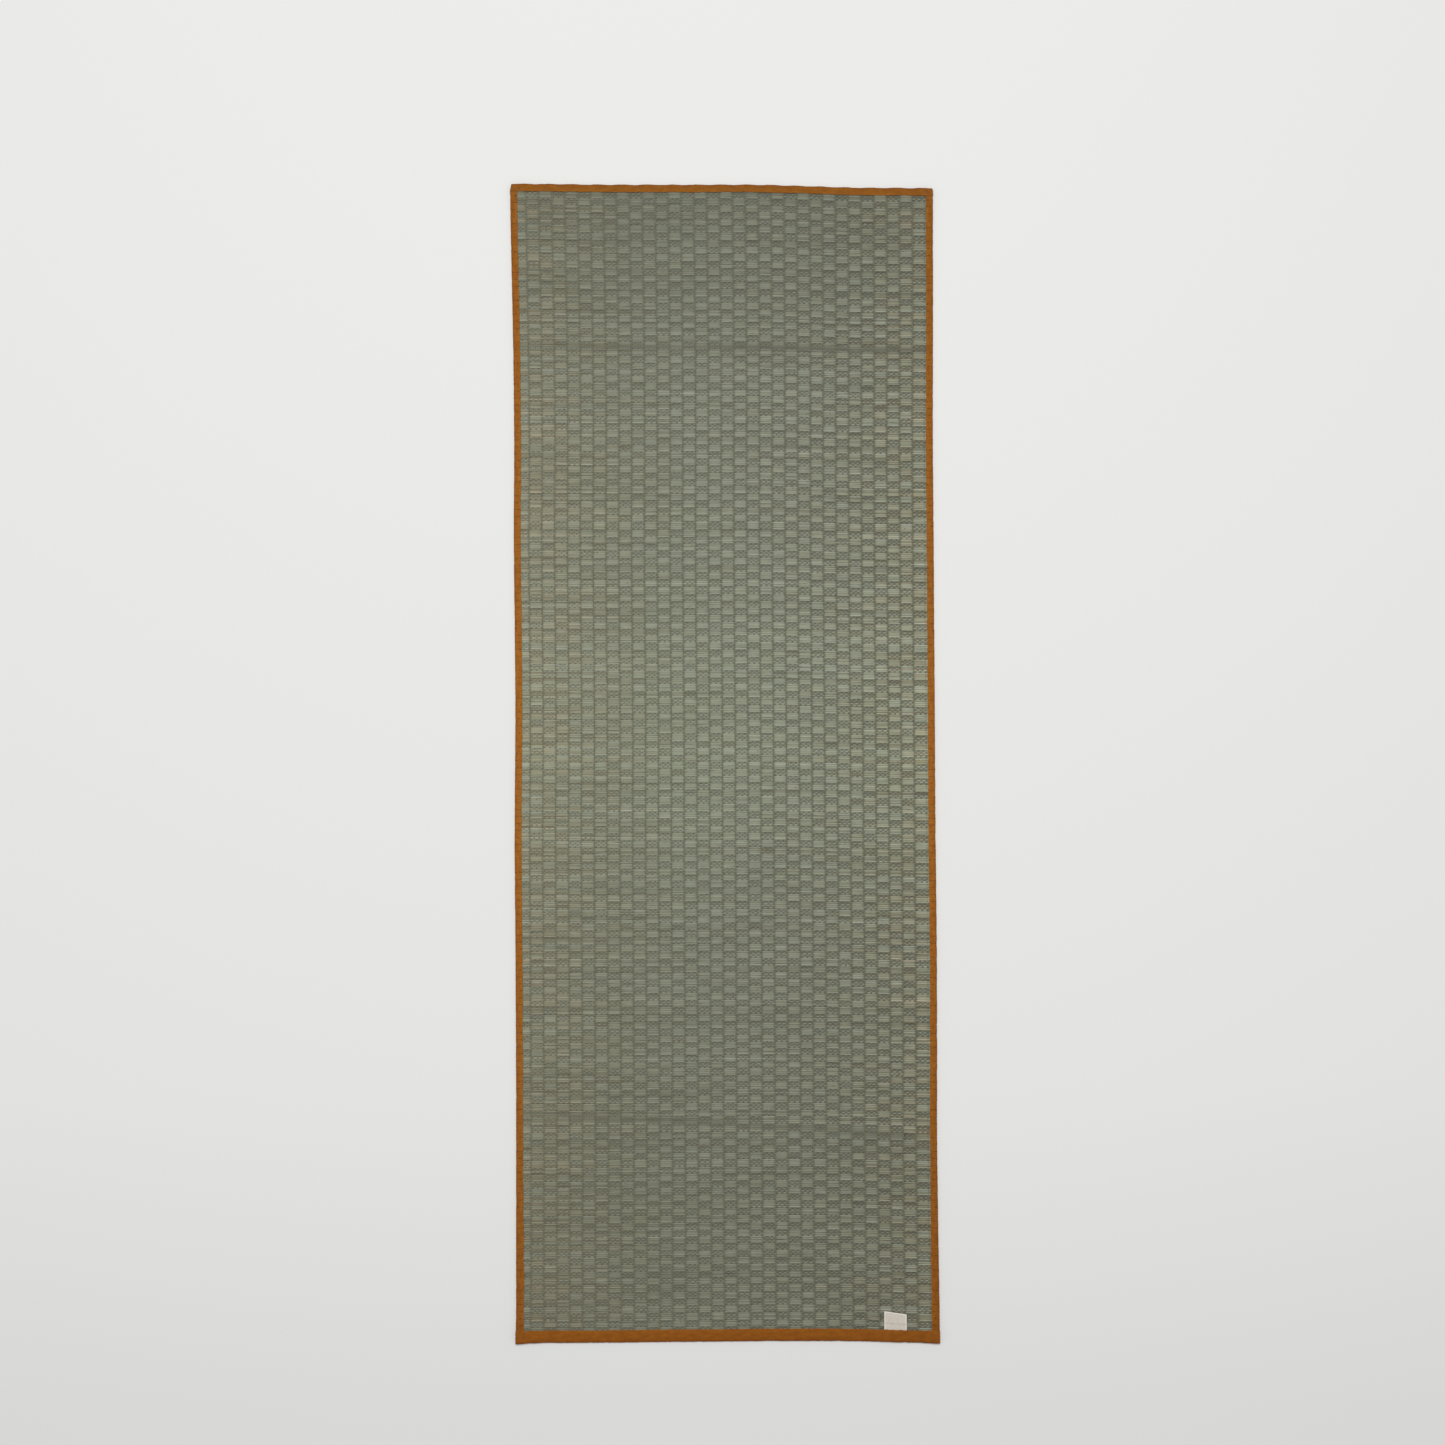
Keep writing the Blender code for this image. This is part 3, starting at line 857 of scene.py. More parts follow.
def warp_material():
    material, tree = new_material("twisted warp thread")
    uv = stem_place(tree)
    length, across = split(tree, uv)
    # The twist shows as slanted bands, with painted shade following its relief.
    slant = maths(tree, "MULTIPLY_ADD", length, 1.0 / TWIST_LENGTH, across)
    twist = maths(tree, "PINGPONG", slant, 0.5)
    # Dull olive thread, darkened in part as painted shade of the recess at the borders.
    colour = ramp(tree, noise(tree, uv, 0.25, detail=3.0), ((0.3, "#6b6955"), (0.7, "#83816c")))
    colour = multiply_colour(tree, colour, maths(tree, "ADD", twist, 0.6))
    surface(tree, colour, 0.85, 0.2, twist)
    return material


def warp_threads(material):
    in_column = [(far, WARP_HEIGHT, WARP_HALF) for far in WARP_PLACES]
    in_column += [(far, BORDER_WARP_HEIGHT, BORDER_WARP_HALF) for far in BORDER_WARP_PLACES]
    threads = np.array(in_every_column(in_column))
    threads = threads[np.abs(threads[:, 0]) < PANEL_EDGE_X - WARP_MARGIN]
    x, height, half = threads.T[..., None, None]
    y = np.linspace(-PANEL_EDGE_Y, PANEL_EDGE_Y, WARP_STATIONS)
    strip = np.array([-1.0, 0.0, 1.0])
    px = x + half * strip + slow_noise(len(threads), 2 * HALF_LENGTH, y, *WARP_WANDER)[..., None]
    py = np.broadcast_to(y[None, :, None], px.shape)
    pz = (height - WARP_EDGE_DROP * np.abs(strip)) * squeeze(px, py) + underside(px, py)
    number = np.broadcast_to(np.arange(len(threads))[:, None, None] + 0.5 * strip, px.shape)
    points = place(px + column_drift(px, py), py, pz)
    faces = strip_faces(len(threads), WARP_STATIONS, len(strip))
    return mesh_object("warp_threads", points, faces, material, np.stack([py, number], axis=-1))


warps = warp_threads(warp_material())
print(warps.name, 2 * len(warps.data.polygons), "triangles")

# %% [markdown]
# The tape is brown cotton canvas, folded over each edge and sewn through. Close up it is a plain
# weave of threads about half a millimetre thick. Its colour wanders in soft blotches. It is
# painted darker at the outer edge, as painted shade where the fold turns away from the light, and
# it is brighter along the inner edge, partly its own colour and partly painted light.

# %% Material: brown cotton tape
THREAD_PITCH = 0.55
THREAD_SHADE = 0.08
BLOTCH_SIZE = (14.0, 6.0)
DIMPLE_REACH = 1.6
DIMPLE_PATCH = (5.0, 3.0)
MEAN_DIMPLE = 0.06
SLUB_SIZE = (1.5, 4.0)
SLUB_SLANT = 0.6
SLUB_SHARE = 1.4
SPECK_FROM = 0.74
SPECK_SHARE = 0.35
SPECK_COLOUR = "#a89a80"
COTTON_COLOURS = ((0.30, "#985f24"), (0.50, "#a46828"), (0.70, "#ae722e"))
# Painted light and shade across the tape, from its inner edge to its outer edge.
COTTON_SHADE_BY_EDGE = (
    (0.00, "#fffcf2"),
    (0.30, "#f6f2ec"),
    (0.75, "#f3efe8"),
    (0.90, "#ecdfce"),
    (1.00, "#d8bd98"),
)
# Painted light: the tape is painted a little darker at both ends of the mat, where the light
# falls off, and deepest in colour at its foot.
COTTON_PAINTED_LIGHT_ALONG = (
    (0.05, "#e4d9c5"),
    (0.16, "#ebe6de"),
    (0.50, "#ffffff"),
    (0.84, "#f0eeec"),
    (0.95, "#e8e6e3"),
)
COTTON_ACROSS = ((0.17, "#ffffff"), (0.83, "#f9f8fa"))


def tape_material(name, relief_shading):
    material, tree = new_material(name)
    uv = stem_place(tree)
    along, across = split(tree, uv)
    blotch_at = stretched(tree, along, BLOTCH_SIZE[0], across, BLOTCH_SIZE[1])
    blotch = noise(tree, blotch_at, detail=4.0, roughness=0.6)
    # Painted shade at the outer edge and painted light along the inner edge.
    shade_by_edge = ramp(tree, attribute(tree, "edge"), COTTON_SHADE_BY_EDGE)
    colour = tint_colour(tree, ramp(tree, blotch, COTTON_COLOURS), shade_by_edge)
    # Between two rows of the weave the tape sinks into short crosswise dimples, which are drawn only
    # as painted shade. Some are shallow.
    in_row = maths(tree, "FRACT", maths(tree, "MULTIPLY", along, 1.0 / ROW_PITCH))
    off_middle = maths(tree, "ABSOLUTE", maths(tree, "SUBTRACT", in_row, 0.5))
    fading = {"interpolation_type": "SMOOTHSTEP", "From Max": DIMPLE_REACH, "To Min": 1.0, "To Max": 0.0}
    off_middle = maths(tree, "MULTIPLY", off_middle, ROW_PITCH)
    near = add_node(tree, "ShaderNodeMapRange", fading, {"Value": off_middle})
    uneven = noise(tree, stretched(tree, along, DIMPLE_PATCH[0], across, DIMPLE_PATCH[1]))
    shallow = add_node(tree, "ShaderNodeMapRange", {"From Min": 0.40, "From Max": 0.62}, {"Value": uneven})
    dimple_shade = maths(tree, "MULTIPLY", near.outputs[0], shallow.outputs[0])
    # Slubs: thicker threads that run aslant, painted lighter as they catch more light, and thin
    # ones painted darker as they catch less.
    aslant = maths(tree, "MULTIPLY_ADD", across, SLUB_SLANT, along)
    slub = noise(tree, stretched(tree, aslant, SLUB_SIZE[0], across, SLUB_SIZE[1]), detail=1.0)
    slub = maths(tree, "SUBTRACT", slub, 0.5)
    relief_shade = maths(tree, "MULTIPLY_ADD", slub, SLUB_SHARE * relief_shading, 1.0 + MEAN_DIMPLE * relief_shading)
    relief_shade = maths(tree, "MULTIPLY_ADD", dimple_shade, -relief_shading, relief_shade)
    thread = plain_weave(tree, along, across, THREAD_PITCH, THREAD_PITCH)
    # Painted shade in the hollows of the plain weave.
    thread_shade = maths(tree, "MULTIPLY_ADD", thread, THREAD_SHADE, 0.97)
    specked = maths(tree, "GREATER_THAN", noise(tree, uv, 0.9, detail=1.0), SPECK_FROM)
    colour = mix_colour(tree, maths(tree, "MULTIPLY", specked, SPECK_SHARE), colour, linear(SPECK_COLOUR))
    colour = multiply_colour(tree, colour, maths(tree, "MULTIPLY", thread_shade, relief_shade))
    colour = light_and_tint_by_place(tree, colour, COTTON_PAINTED_LIGHT_ALONG, COTTON_ACROSS)
    surface(tree, colour, 0.95, 0.08, thread, distance=0.00015)
    return material


side_cotton = tape_material("brown cotton canvas tape over the rows", 0.47)
end_cotton = tape_material("brown cotton canvas tape at the ends", 0.03)
print("materials:", side_cotton.name, "and", end_cotton.name)

# %% [markdown]
# A folded tape is one long strip of cloth with a U-shaped section. The section starts at the
# rolled inner edge on top, runs out over the mat, turns down round the edge and comes back
# underneath. Its middle line is written down once, the cloth's thickness is added on both sides,
# and the section is repeated along the edge, where it rises and falls a little each time.

# %% Sections of a folded tape
TAPE_STEP = 3.9
# The section's middle line in five parts. Each point is a distance from the tape's inner or outer
# edge, a height from the slot for the mat, its middle or the floor, and half the cloth's thickness.
INNER_ABOVE = (
    (-0.45, 0.42, 0.18),
    (-0.25, 0.46, 0.38),
    (0.25, 0.53, 0.46),
    (1.35, 0.46, 0.42),
    (2.60, 0.51, 0.47),
)
OUTER_ABOVE = ((2.0, 0.46, 0.45), (0.90, 0.22, 0.44), (0.52, -0.40, 0.44))
OUTER_MIDDLE = (0.46, -0.4, 0.43)
OUTER_BELOW = ((0.56, 1.05, 0.43), (1.10, 0.56, 0.44), (2.2, 0.48, 0.45))
INNER_BELOW = ((1.2, 0.48, 0.45), (0.30, 0.42, 0.36), (0.05, 0.40, 0.18))
# The flat top between them has one more point, by its share of the width.
FLAT_ABOVE = (0.60, 0.52, 0.46)
STITCH_LINE = 0.90
STITCH_HEIGHT = 0.86
# The tape's edges wander, and its inner edge also waves with the rows of the weave below it.
INNER_WAVE = 0.30
INNER_SHARE = 3.0
OUTER_FROM = 0.6
INNER_WANDER = (9.0, 0.22)
OUTER_WANDER = (8.0, 0.22)
TOP_SAG = (14.0, 0.05)


def tape_section(width, floor, slot_top):
    """Middle line of the section, as distance from the inner edge, height and half thickness."""
    middle = 0.5 * (floor + slot_top + TAPE_THICK)
    share, rise, flat_half = FLAT_ABOVE
    outer, drop, middle_half = OUTER_MIDDLE
    line = [(far, slot_top + up, half) for far, up, half in INNER_ABOVE]
    line.append((share * width, slot_top + rise, flat_half))
    line += [(width - far, slot_top + up, half) for far, up, half in OUTER_ABOVE]
    line.append((width - outer, middle + drop, middle_half))
    line += [(width - far, floor + up, half) for far, up, half in OUTER_BELOW]
    line += [(far, floor + up, half) for far, up, half in INNER_BELOW]
    return np.array(line)


def outline_of(section):
    """The closed outline of a section: its outer side, then its inner side on the way back."""
    line, half = section[:, :2], section[:, 2:]
    way = np.gradient(line, axis=0)
    way /= np.linalg.norm(way, axis=1, keepdims=True)
    outward = np.stack([-way[:, 1], way[:, 0]], axis=1)
    return np.concatenate([line + outward * half, (line - outward * half)[::-1]])


def even_places(start, end, step):
    return np.linspace(start, end, int(round((end - start) / step)) + 1)


def edge_noise(places, wander):
    """One smooth random line along a tape."""
    return slow_noise(1, 2 * HALF_LENGTH, places, *wander)[0][:, None]


def folded_tape(name, places, widths, floors, slot_tops, to_point, material):
    """A tape from one section at each place. to_point turns (place, distance, height) to x, y, z."""
    outlines = np.array([outline_of(tape_section(*sizes)) for sizes in zip(widths, floors, slot_tops)])
    count, corners = outlines.shape[:2]
    distance, height = outlines[..., 0], outlines[..., 1]
    share = np.clip(distance / widths[:, None], 0.0, 1.0)
    above = (height > 0.5 * (floors + slot_tops)[:, None]).astype(float)
    wave = INNER_WAVE * np.sin(2.0 * np.pi * places / ROW_PITCH)[:, None] + edge_noise(places, INNER_WANDER)
    distance = distance + wave * (1.0 - ease(share * INNER_SHARE)) * above
    near_edge = ease((share - OUTER_FROM) / (1.0 - OUTER_FROM))
    distance = distance - np.abs(edge_noise(places, OUTER_WANDER)) * near_edge
    height = height - np.abs(edge_noise(places, TOP_SAG)) * above
    along = np.broadcast_to(places[:, None], distance.shape)
    points = place(*to_point(along, distance, height))
    steps = np.linalg.norm(np.diff(outlines, axis=1), axis=-1)
    girth = np.concatenate([np.zeros((count, 1)), np.cumsum(steps, axis=1)], axis=1)
    ring = np.arange(corners)
    following = np.roll(ring, -1)
    base = np.arange(count - 1)[:, None] * corners
    sides = np.stack([base + ring, base + following, base + corners + following, base + corners + ring], -1)
    pair = np.arange(corners // 2 - 1)
    cap = np.stack([pair, corners - 1 - pair, corners - 2 - pair, pair + 1], axis=-1)
    faces = np.concatenate([sides.reshape(-1, 4), cap, (count - 1) * corners + cap[:, ::-1]])
    obj = mesh_object(name, points, faces, material, np.stack([along, girth], -1), {"edge": share})
    outward_faces(obj)
    return obj


def outward_faces(obj):
    """Turns the whole mesh over if its faces point inwards."""
    mesh = obj.data
    mesh.calc_loop_triangles()
    points = np.empty(len(mesh.vertices) * 3)
    mesh.vertices.foreach_get("co", points)
    corners = np.empty(len(mesh.loop_triangles) * 3, np.int32)
    mesh.loop_triangles.foreach_get("vertices", corners)
    a, b, c = points.reshape(-1, 3)[corners.reshape(-1, 3)].transpose(1, 0, 2)
    if np.einsum("ij,ij->i", a, np.cross(b, c)).sum() < 0.0:
        mesh.flip_normals()


section_points = 2 * len(tape_section(SIDE_TAPE_WIDTH, 0.0, STEP + PANEL_THICK))
print("points in a section:", section_points)

# %% [markdown]
# The side tapes run the whole length first. The end tapes go on after them, so they lie over the
# ends of the side tapes and step up by one thickness there. The lower tape also steps up over the
# label's tucked edge.

# %% Fold the four tapes
TOP_TUCK = 1.4
BOTTOM_OVERHANG = 0.4
BOTTOM_FLARE = 1.1
FLARE_RUN = 40.0
# The side tapes were sewn on a little wider near the foot of the mat, from here down.
FOOT_EXTRA = 1.3
FOOT_FROM = -600.0
FOOT_RUN = 200.0
# The top tape's outer edge is drawn in a little between the places where it was held to sew it.
SCALLOP_PITCH = 39.0
SCALLOP_HEIGHT = 0.4
# The end tapes climb on to the side tapes over this run, and on to the label over its drop.
CLIMB_START = -0.2
CLIMB_RUN = 3.4
LABEL_LEFT = 243.1
LABEL_RIGHT = 277.8
LABEL_MARGIN = 2.0
LABEL_DROP = 6.0
TOP_INNER = HALF_LENGTH - TOP_TAPE_WIDTH + TOP_TUCK
BOTTOM_INNER = BOTTOM_TAPE_WIDTH - HALF_LENGTH


def over_side_tape(x):
    return 1.0 - ease((side_distance(x) - CLIMB_START) / CLIMB_RUN)


def over_label(x):
    outside = np.maximum(LABEL_LEFT - LABEL_MARGIN - x, x - LABEL_RIGHT - LABEL_MARGIN)
    return 1.0 - ease(outside / LABEL_DROP)


def side_tape_width(y):
    return SIDE_TAPE_WIDTH + FOOT_EXTRA * ease((FOOT_FROM - y) / FOOT_RUN)


def side_slot_top(y):
    """Height of the top of the slot that a side tape holds the mat in."""
    return STEP * lift(end_distance(y)) + STEP + PANEL_THICK + GAP


def top_slot_top(x):
    return underside(x, TOP_INNER) + PANEL_THICK + GAP + STEP * over_side_tape(x)


def bottom_slot_top(x):
    raised = np.maximum(over_side_tape(x), over_label(x))
    return underside(x, BOTTOM_INNER) + PANEL_THICK + GAP + STEP * raised


def side_tape(name, side):
    def to_point(at, far, up):
        return side * (HALF_WIDTH - side_tape_width(at) + far), at, up

    y = even_places(-PANEL_EDGE_Y, PANEL_EDGE_Y, TAPE_STEP)
    floors = STEP * lift(end_distance(y))
    return folded_tape(name, y, side_tape_width(y), floors, side_slot_top(y), to_point, side_cotton)


def top_tape():
    x = even_places(-HALF_WIDTH, HALF_WIDTH, TAPE_STEP / 2.0)
    widths = TOP_TAPE_WIDTH + SCALLOP_HEIGHT * (1.0 + np.cos(2.0 * np.pi * x / SCALLOP_PITCH))
    return folded_tape("tape_top", x, widths, np.zeros(len(x)), top_slot_top(x),
                       lambda at, far, up: (at, TOP_INNER + far, up), end_cotton)


def bottom_tape():
    reach = HALF_WIDTH + BOTTOM_OVERHANG
    x = even_places(-reach, reach, TAPE_STEP / 2.0)
    widths = BOTTOM_TAPE_WIDTH + BOTTOM_FLARE * ease(1.0 - (reach - np.abs(x)) / FLARE_RUN)
    return folded_tape("tape_bottom", x, widths, np.zeros(len(x)), bottom_slot_top(x),
                       lambda at, far, up: (at, BOTTOM_INNER - far, up), end_cotton)


tapes = {
    "binding_left": side_tape("tape_left", -1.0),
    "binding_right": side_tape("tape_right", 1.0),
    "binding_top": top_tape(),
    "binding_bottom": bottom_tape(),
}
for node, tape in tapes.items():
    print(node, 2 * len(tape.data.polygons), "triangles")

# %% [markdown]
# A row of lockstitches holds each tape, one every 3 mm or so, close to its inner edge. One stitch
# is a short bar of thread that dives into the cloth at both ends. It is modelled once, from a
# four-sided rod whose ends are drawn out, lowered and narrowed, and then copied along the tapes.

# %% Model one stitch
STITCH_LENGTH = 2.2
STITCH_WIDTH = 0.5
STITCH_RISE = 0.20
BAR_SHARE = 0.6
END_DROP = 0.9 * STITCH_RISE
END_SIZE = 0.45


def select_faces(obj, wanted):
    """Leaves the object in edit mode with only the faces selected that wanted(face) is true for."""
    bpy.ops.object.mode_set(mode="EDIT")
    bpy.ops.mesh.select_mode(type="FACE")
    bpy.ops.mesh.select_all(action="DESELECT")
    bpy.ops.object.mode_set(mode="OBJECT")
    for face in obj.data.polygons:
        face.select = wanted(face)
    bpy.ops.object.mode_set(mode="EDIT")


bpy.ops.object.select_all(action="DESELECT")
bpy.ops.mesh.primitive_cylinder_add(vertices=4, radius=0.5 * STITCH_WIDTH * MM,
                                    depth=BAR_SHARE * STITCH_LENGTH * MM,
                                    rotation=(math.radians(90.0), 0.0, 0.0))
stitch = bpy.context.active_object
bpy.ops.object.transform_apply(location=False, rotation=True, scale=False)
for end in (-1.0, 1.0):
    select_faces(stitch, lambda face: face.normal.y * end > 0.9)
    reach = (0.0, end * 0.5 * (1.0 - BAR_SHARE) * STITCH_LENGTH * MM, -END_DROP * MM)
    bpy.ops.mesh.extrude_region_move(TRANSFORM_OT_translate={"value": reach})
    end_at = (0.0, end * 0.5 * STITCH_LENGTH * MM, -END_DROP * MM)
    bpy.ops.transform.resize(value=(END_SIZE, 1.0, END_SIZE), center_override=end_at)
    bpy.ops.object.mode_set(mode="OBJECT")
stitch_points = points_of(stitch)
stitch_faces = np.array([list(face.vertices) for face in stitch.data.polygons])
bpy.data.objects.remove(stitch)
print("one stitch:", len(stitch_points), "points,", len(stitch_faces), "faces")

# %% Copy it along the tapes
STITCH_PITCH = 3.2
SEAM_FOOT = 20.0
SEAM_TOP = 14.0
SEAM_END = 3.0


def copies(x, y, z, angle, size=1.0):
    """Points of a stitch at each x, y, z in millimetres, turned about Z by angle in degrees."""
    x, y, z, angle = np.broadcast_arrays(x, y, z, np.radians(angle))
    cosine, sine = np.cos(angle)[:, None], np.sin(angle)[:, None]
    own_x, own_y, own_z = size * stitch_points.T
    px = x[:, None] + cosine * own_x - sine * own_y
    py = y[:, None] + sine * own_x + cosine * own_y
    return place(px, py, z[:, None] + own_z).reshape(-1, 3)


def sewn(name, rows, material):
    """All these copies as one object."""
    points = np.concatenate(rows)
    first = np.arange(len(points) // len(stitch_points)) * len(stitch_points)
    faces = stitch_faces[None] + first[:, None, None]
    return mesh_object(name, points, faces, material)


y = even_places(-HALF_LENGTH + SEAM_FOOT, HALF_LENGTH - SEAM_TOP, STITCH_PITCH)
side_x = HALF_WIDTH - side_tape_width(y) + STITCH_LINE
x = even_places(-HALF_WIDTH + SEAM_END, HALF_WIDTH - SEAM_END, STITCH_PITCH)
rows = [copies(side * side_x, y, side_slot_top(y) + STITCH_HEIGHT, 0.0) for side in (-1.0, 1.0)]
rows.append(copies(x, TOP_INNER + STITCH_LINE, top_slot_top(x) + STITCH_HEIGHT, 90.0))
rows.append(copies(x, BOTTOM_INNER - STITCH_LINE, bottom_slot_top(x) + STITCH_HEIGHT, 90.0))
brown_thread = mottled_material("brown sewing thread", 900.0, "#7a4f20", "#94682f", 0.7, 0.3)
stitches = sewn("binding_stitches", rows, brown_thread)
print(stitches.name, 2 * len(stitches.data.polygons), "triangles")

# %% [markdown]
# Each corner is fastened by hand with a few knots of dark green thread, where the side tape's
# inner edge passes under the end tape. The same thread comes through the top tape as a line of
# small dots that zigzags along its middle.

# %% Knots at the corners
KNOT_HEIGHT = 1.0
KNOT_SIZE = 1.15
DOT_SIZE = 0.6
DOT_PITCH = 6.2
DOT_MARGIN = 22.0
DOT_LINE = 6.0
DOT_ZIGZAG = 1.3
DOT_UNEVENNESS = 0.5
# Place in millimetres and angle in degrees of each thread of the knots.
TOP_KNOTS = (
    (-316.1, 898.2, 10), (-316.0, 896.4, 20), (-315.6, 894.4, -20), (-314.8, 893.0, 60),
    (-322.6, 892.8, 30), (319.2, 898.4, 20), (320.4, 896.2, -30), (319.0, 894.6, 40),
    (321.4, 893.9, 0), (322.9, 895.6, 80), (316.9, 895.4, 10),
)
BOTTOM_KNOTS = (
    (317.0, -885.2, 66), (317.5, -886.8, 52), (316.9, -896.6, 48), (317.4, -898.2, 70),
    (-317.0, -885.6, 80), (-317.3, -889.0, 90), (-317.6, -891.6, 40), (-316.6, -893.6, 20),
    (-323.4, -885.2, 10), (-317.0, -898.4, 70),
)

top_x, top_y, top_turn = np.array(TOP_KNOTS).T
low_x, low_y, low_turn = np.array(BOTTOM_KNOTS).T
dots = even_places(-HALF_WIDTH + DOT_MARGIN, HALF_WIDTH - DOT_MARGIN, DOT_PITCH)
zigzag = DOT_ZIGZAG * (-1.0) ** np.arange(len(dots))
dots_y = TOP_INNER + DOT_LINE + zigzag + rng.normal(0.0, DOT_UNEVENNESS, len(dots))
rows = [
    copies(top_x, top_y, top_slot_top(top_x) + KNOT_HEIGHT, top_turn, KNOT_SIZE),
    copies(low_x, low_y, bottom_slot_top(low_x) + KNOT_HEIGHT, low_turn, KNOT_SIZE),
    copies(dots, dots_y, top_slot_top(dots) + KNOT_HEIGHT, 20.0, DOT_SIZE),
]
green_thread = mottled_material("dark green sewing thread", 900.0, "#26352f", "#3c4b43", 0.7, 0.3)
knots = sewn("corner_knots", rows, green_thread)
print(knots.name, 2 * len(knots.data.polygons), "triangles")

# %% [markdown]
# A small cream label lies on the rush near one corner, with its lower edge caught under the tape.
# It is left bare. It is a woven ribbon, with a firmer edge all round and a soft line across it
# where it was once folded, darkened with painted shade.

# %% The bare label
LABEL_TOP_LEFT = -853.1
LABEL_TOP_RIGHT = -857.3
LABEL_TUCK = 5.0
LABEL_CELLS = (36, 34)
LABEL_HEIGHT = 0.75
LABEL_CLOTH = 0.70
LABEL_VISIBLE = LABEL_TOP_LEFT - BOTTOM_INNER
RIM_WIDTH = 0.9
RIM_FADE = 1.1
RIM_RISE = 0.15
# The fold lies at this share of the length that shows, and is this wide and deep.
FOLD_AT = 0.64
FOLD_HALF = 0.8
FOLD_DEPTH = 0.18
WAVE_RISE = 0.10
WAVES = 9.0
LABEL_THREADS = (0.4 * MM, 0.3 * MM)


def label_material():
    material, tree = new_material("cream woven cotton label")
    place_on_mat = object_place(tree)
    x, y = split(tree, place_on_mat)
    mottle = noise(tree, place_on_mat, 350.0, detail=4.0)
    colour = ramp(tree, mottle, ((0.3, "#c5bcaf"), (0.7, "#d3cabf")))
    colour = mix_colour(tree, attribute(tree, "rim"), colour, linear("#e6e1da"))
    # The fold's line is darkened with painted shade.
    fold = maths(tree, "MULTIPLY", attribute(tree, "fold"), 0.55)
    colour = mix_colour(tree, fold, colour, linear("#a19a92"))
    thread = plain_weave(tree, x, y, *LABEL_THREADS)
    surface(tree, colour, 0.85, 0.2, thread, strength=0.4, distance=0.0001)
    return material


def build_label():
    low, high = BOTTOM_INNER - LABEL_TUCK, LABEL_TOP_LEFT
    sheet = flat_sheet("bare_label", LABEL_CELLS, (LABEL_LEFT, LABEL_RIGHT), (low, high))
    x, y, _ = points_of(sheet).T
    across = (x - LABEL_LEFT) / (LABEL_RIGHT - LABEL_LEFT)
    up = (y - low) / (high - low)
    # The top edge runs a little downhill to the right.
    y = y + (LABEL_TOP_RIGHT - LABEL_TOP_LEFT) * across * up
    from_top = (1.0 - up) * (LABEL_VISIBLE + LABEL_TUCK)
    from_side = np.minimum(across, 1.0 - across) * (LABEL_RIGHT - LABEL_LEFT)
    rim = 1.0 - ease((np.minimum(from_side, from_top) - RIM_WIDTH) / RIM_FADE)
    fold = np.exp(-((from_top - FOLD_AT * LABEL_VISIBLE) / FOLD_HALF) ** 2)
    bow = WAVE_RISE * np.sin(across * WAVES) * up + RIM_RISE * rim - FOLD_DEPTH * fold
    set_down(sheet, x, y, underside(x, y) + PANEL_THICK + GAP + LABEL_HEIGHT + bow)
    keep_values(sheet.data, {"rim": rim, "fold": fold})
    give_thickness(sheet, LABEL_CLOTH, -1.0)
    sheet.data.materials.append(label_material())
    return sheet


label = build_label()
print(label.name, len(label.data.polygons), "faces")

# %% [markdown]
# Each piece rides on the frame's one body, and takes the place of its CAD node where it has one.

# %% Tell the frame about the pieces
for piece, node, material_slot in [(core, "rush_panel", "rush"), (label, "label", "label")] + [
    (tape, node, "binding") for node, tape in tapes.items()
]:
    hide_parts(node)
    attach(piece, "root")
for piece in weave + [back, warps]:
    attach(piece, "root")
for piece in (stitches, knots):
    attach(piece, "root")

# %% [markdown]
# The floor is plain and pale. It stands in for the photograph's background, which is nearly white
# at the top of the picture and a little greyer at the foot.

# %% Floor
FLOOR_SIZE = 12.0
FLOOR_DROP = 0.0002
# Painted shade: the floor is painted a little darker towards the foot, where the light falls off.
FLOOR_COLOURS = ((0.0, "#e0e0de"), (0.25, "#e6e6e4"), (1.0, "#e5e5e3"))

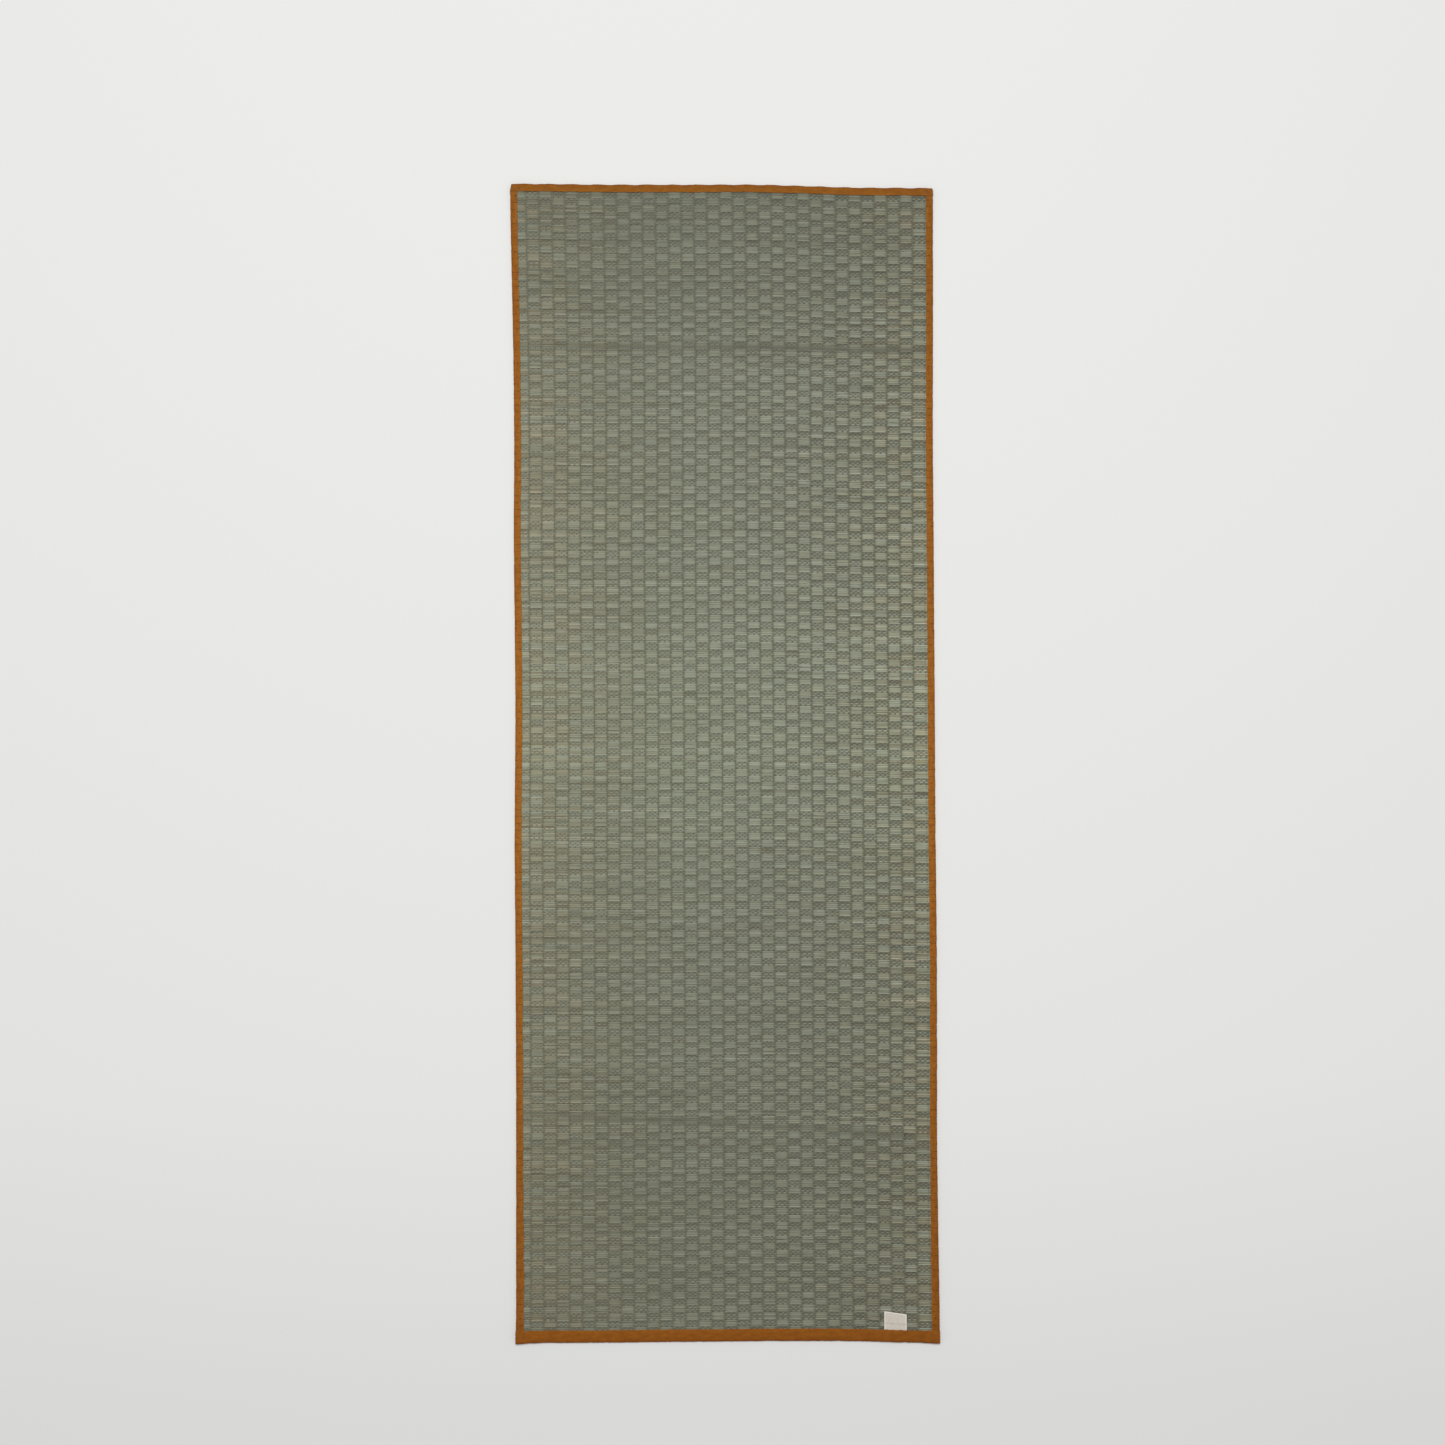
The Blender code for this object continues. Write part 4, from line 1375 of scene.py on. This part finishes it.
bpy.ops.mesh.primitive_plane_add(size=FLOOR_SIZE, location=(0.0, 0.0, -FLOOR_DROP))
floor = bpy.context.active_object
floor.name = "floor"
floor_paint, tree = new_material("pale matt floor")
_, floor_y = split(tree, object_place(tree))
floor_share = maths(tree, "MULTIPLY_ADD", floor_y, 0.5, 0.5, clamp=True)
surface(tree, ramp(tree, floor_share, FLOOR_COLOURS), 0.95, 0.0)
floor.data.materials.append(floor_paint)
print("floor:", FLOOR_SIZE, "m")

# %% [markdown]
# The picture was taken from straight above in soft light. One large area light hangs over the
# mat, and a pale world fills the shadows between the stems. The mat looks a third of a degree
# turned in the picture, so the camera is turned by as much. Sizes are in metres here.

# %% Light and camera
CAMERA_HEIGHT = 5.0
FRAME_WIDTH = 2.249
LOOKS_AT = (-0.0032, 0.0636)
CAMERA_TURN = 0.31
WORLD_STRENGTH = 0.35
LIGHT_POWER = 375.0
LIGHT_PLACE = (-0.15, 2.0, 6.9)
LIGHT_SIZE = 3.0

world = bpy.data.worlds.new("soft studio")
world.use_nodes = True
world.node_tree.nodes["Background"].inputs["Color"].default_value = (1.0, 1.0, 1.0, 1.0)
world.node_tree.nodes["Background"].inputs["Strength"].default_value = WORLD_STRENGTH
bpy.context.scene.world = world

bpy.ops.object.light_add(type="AREA", location=LIGHT_PLACE)
lamp = bpy.context.active_object
lamp.data.shape = "SQUARE"
lamp.data.size = LIGHT_SIZE
lamp.data.energy = LIGHT_POWER
lamp.rotation_euler = (math.atan2(-LIGHT_PLACE[1], LIGHT_PLACE[2]), 0.0, 0.0)

bpy.ops.object.camera_add(location=(LOOKS_AT[0], LOOKS_AT[1], CAMERA_HEIGHT))
camera = bpy.context.active_object
camera.rotation_euler = (0.0, 0.0, math.radians(-CAMERA_TURN))
camera.data.lens_unit = "FOV"
camera.data.angle = 2.0 * math.atan(FRAME_WIDTH / 2.0 / CAMERA_HEIGHT)
bpy.context.scene.camera = camera
bpy.context.scene.view_settings.view_transform = "Standard"
bpy.context.scene.view_settings.look = "None"
print("camera:", tuple(round(v, 3) for v in camera.location))
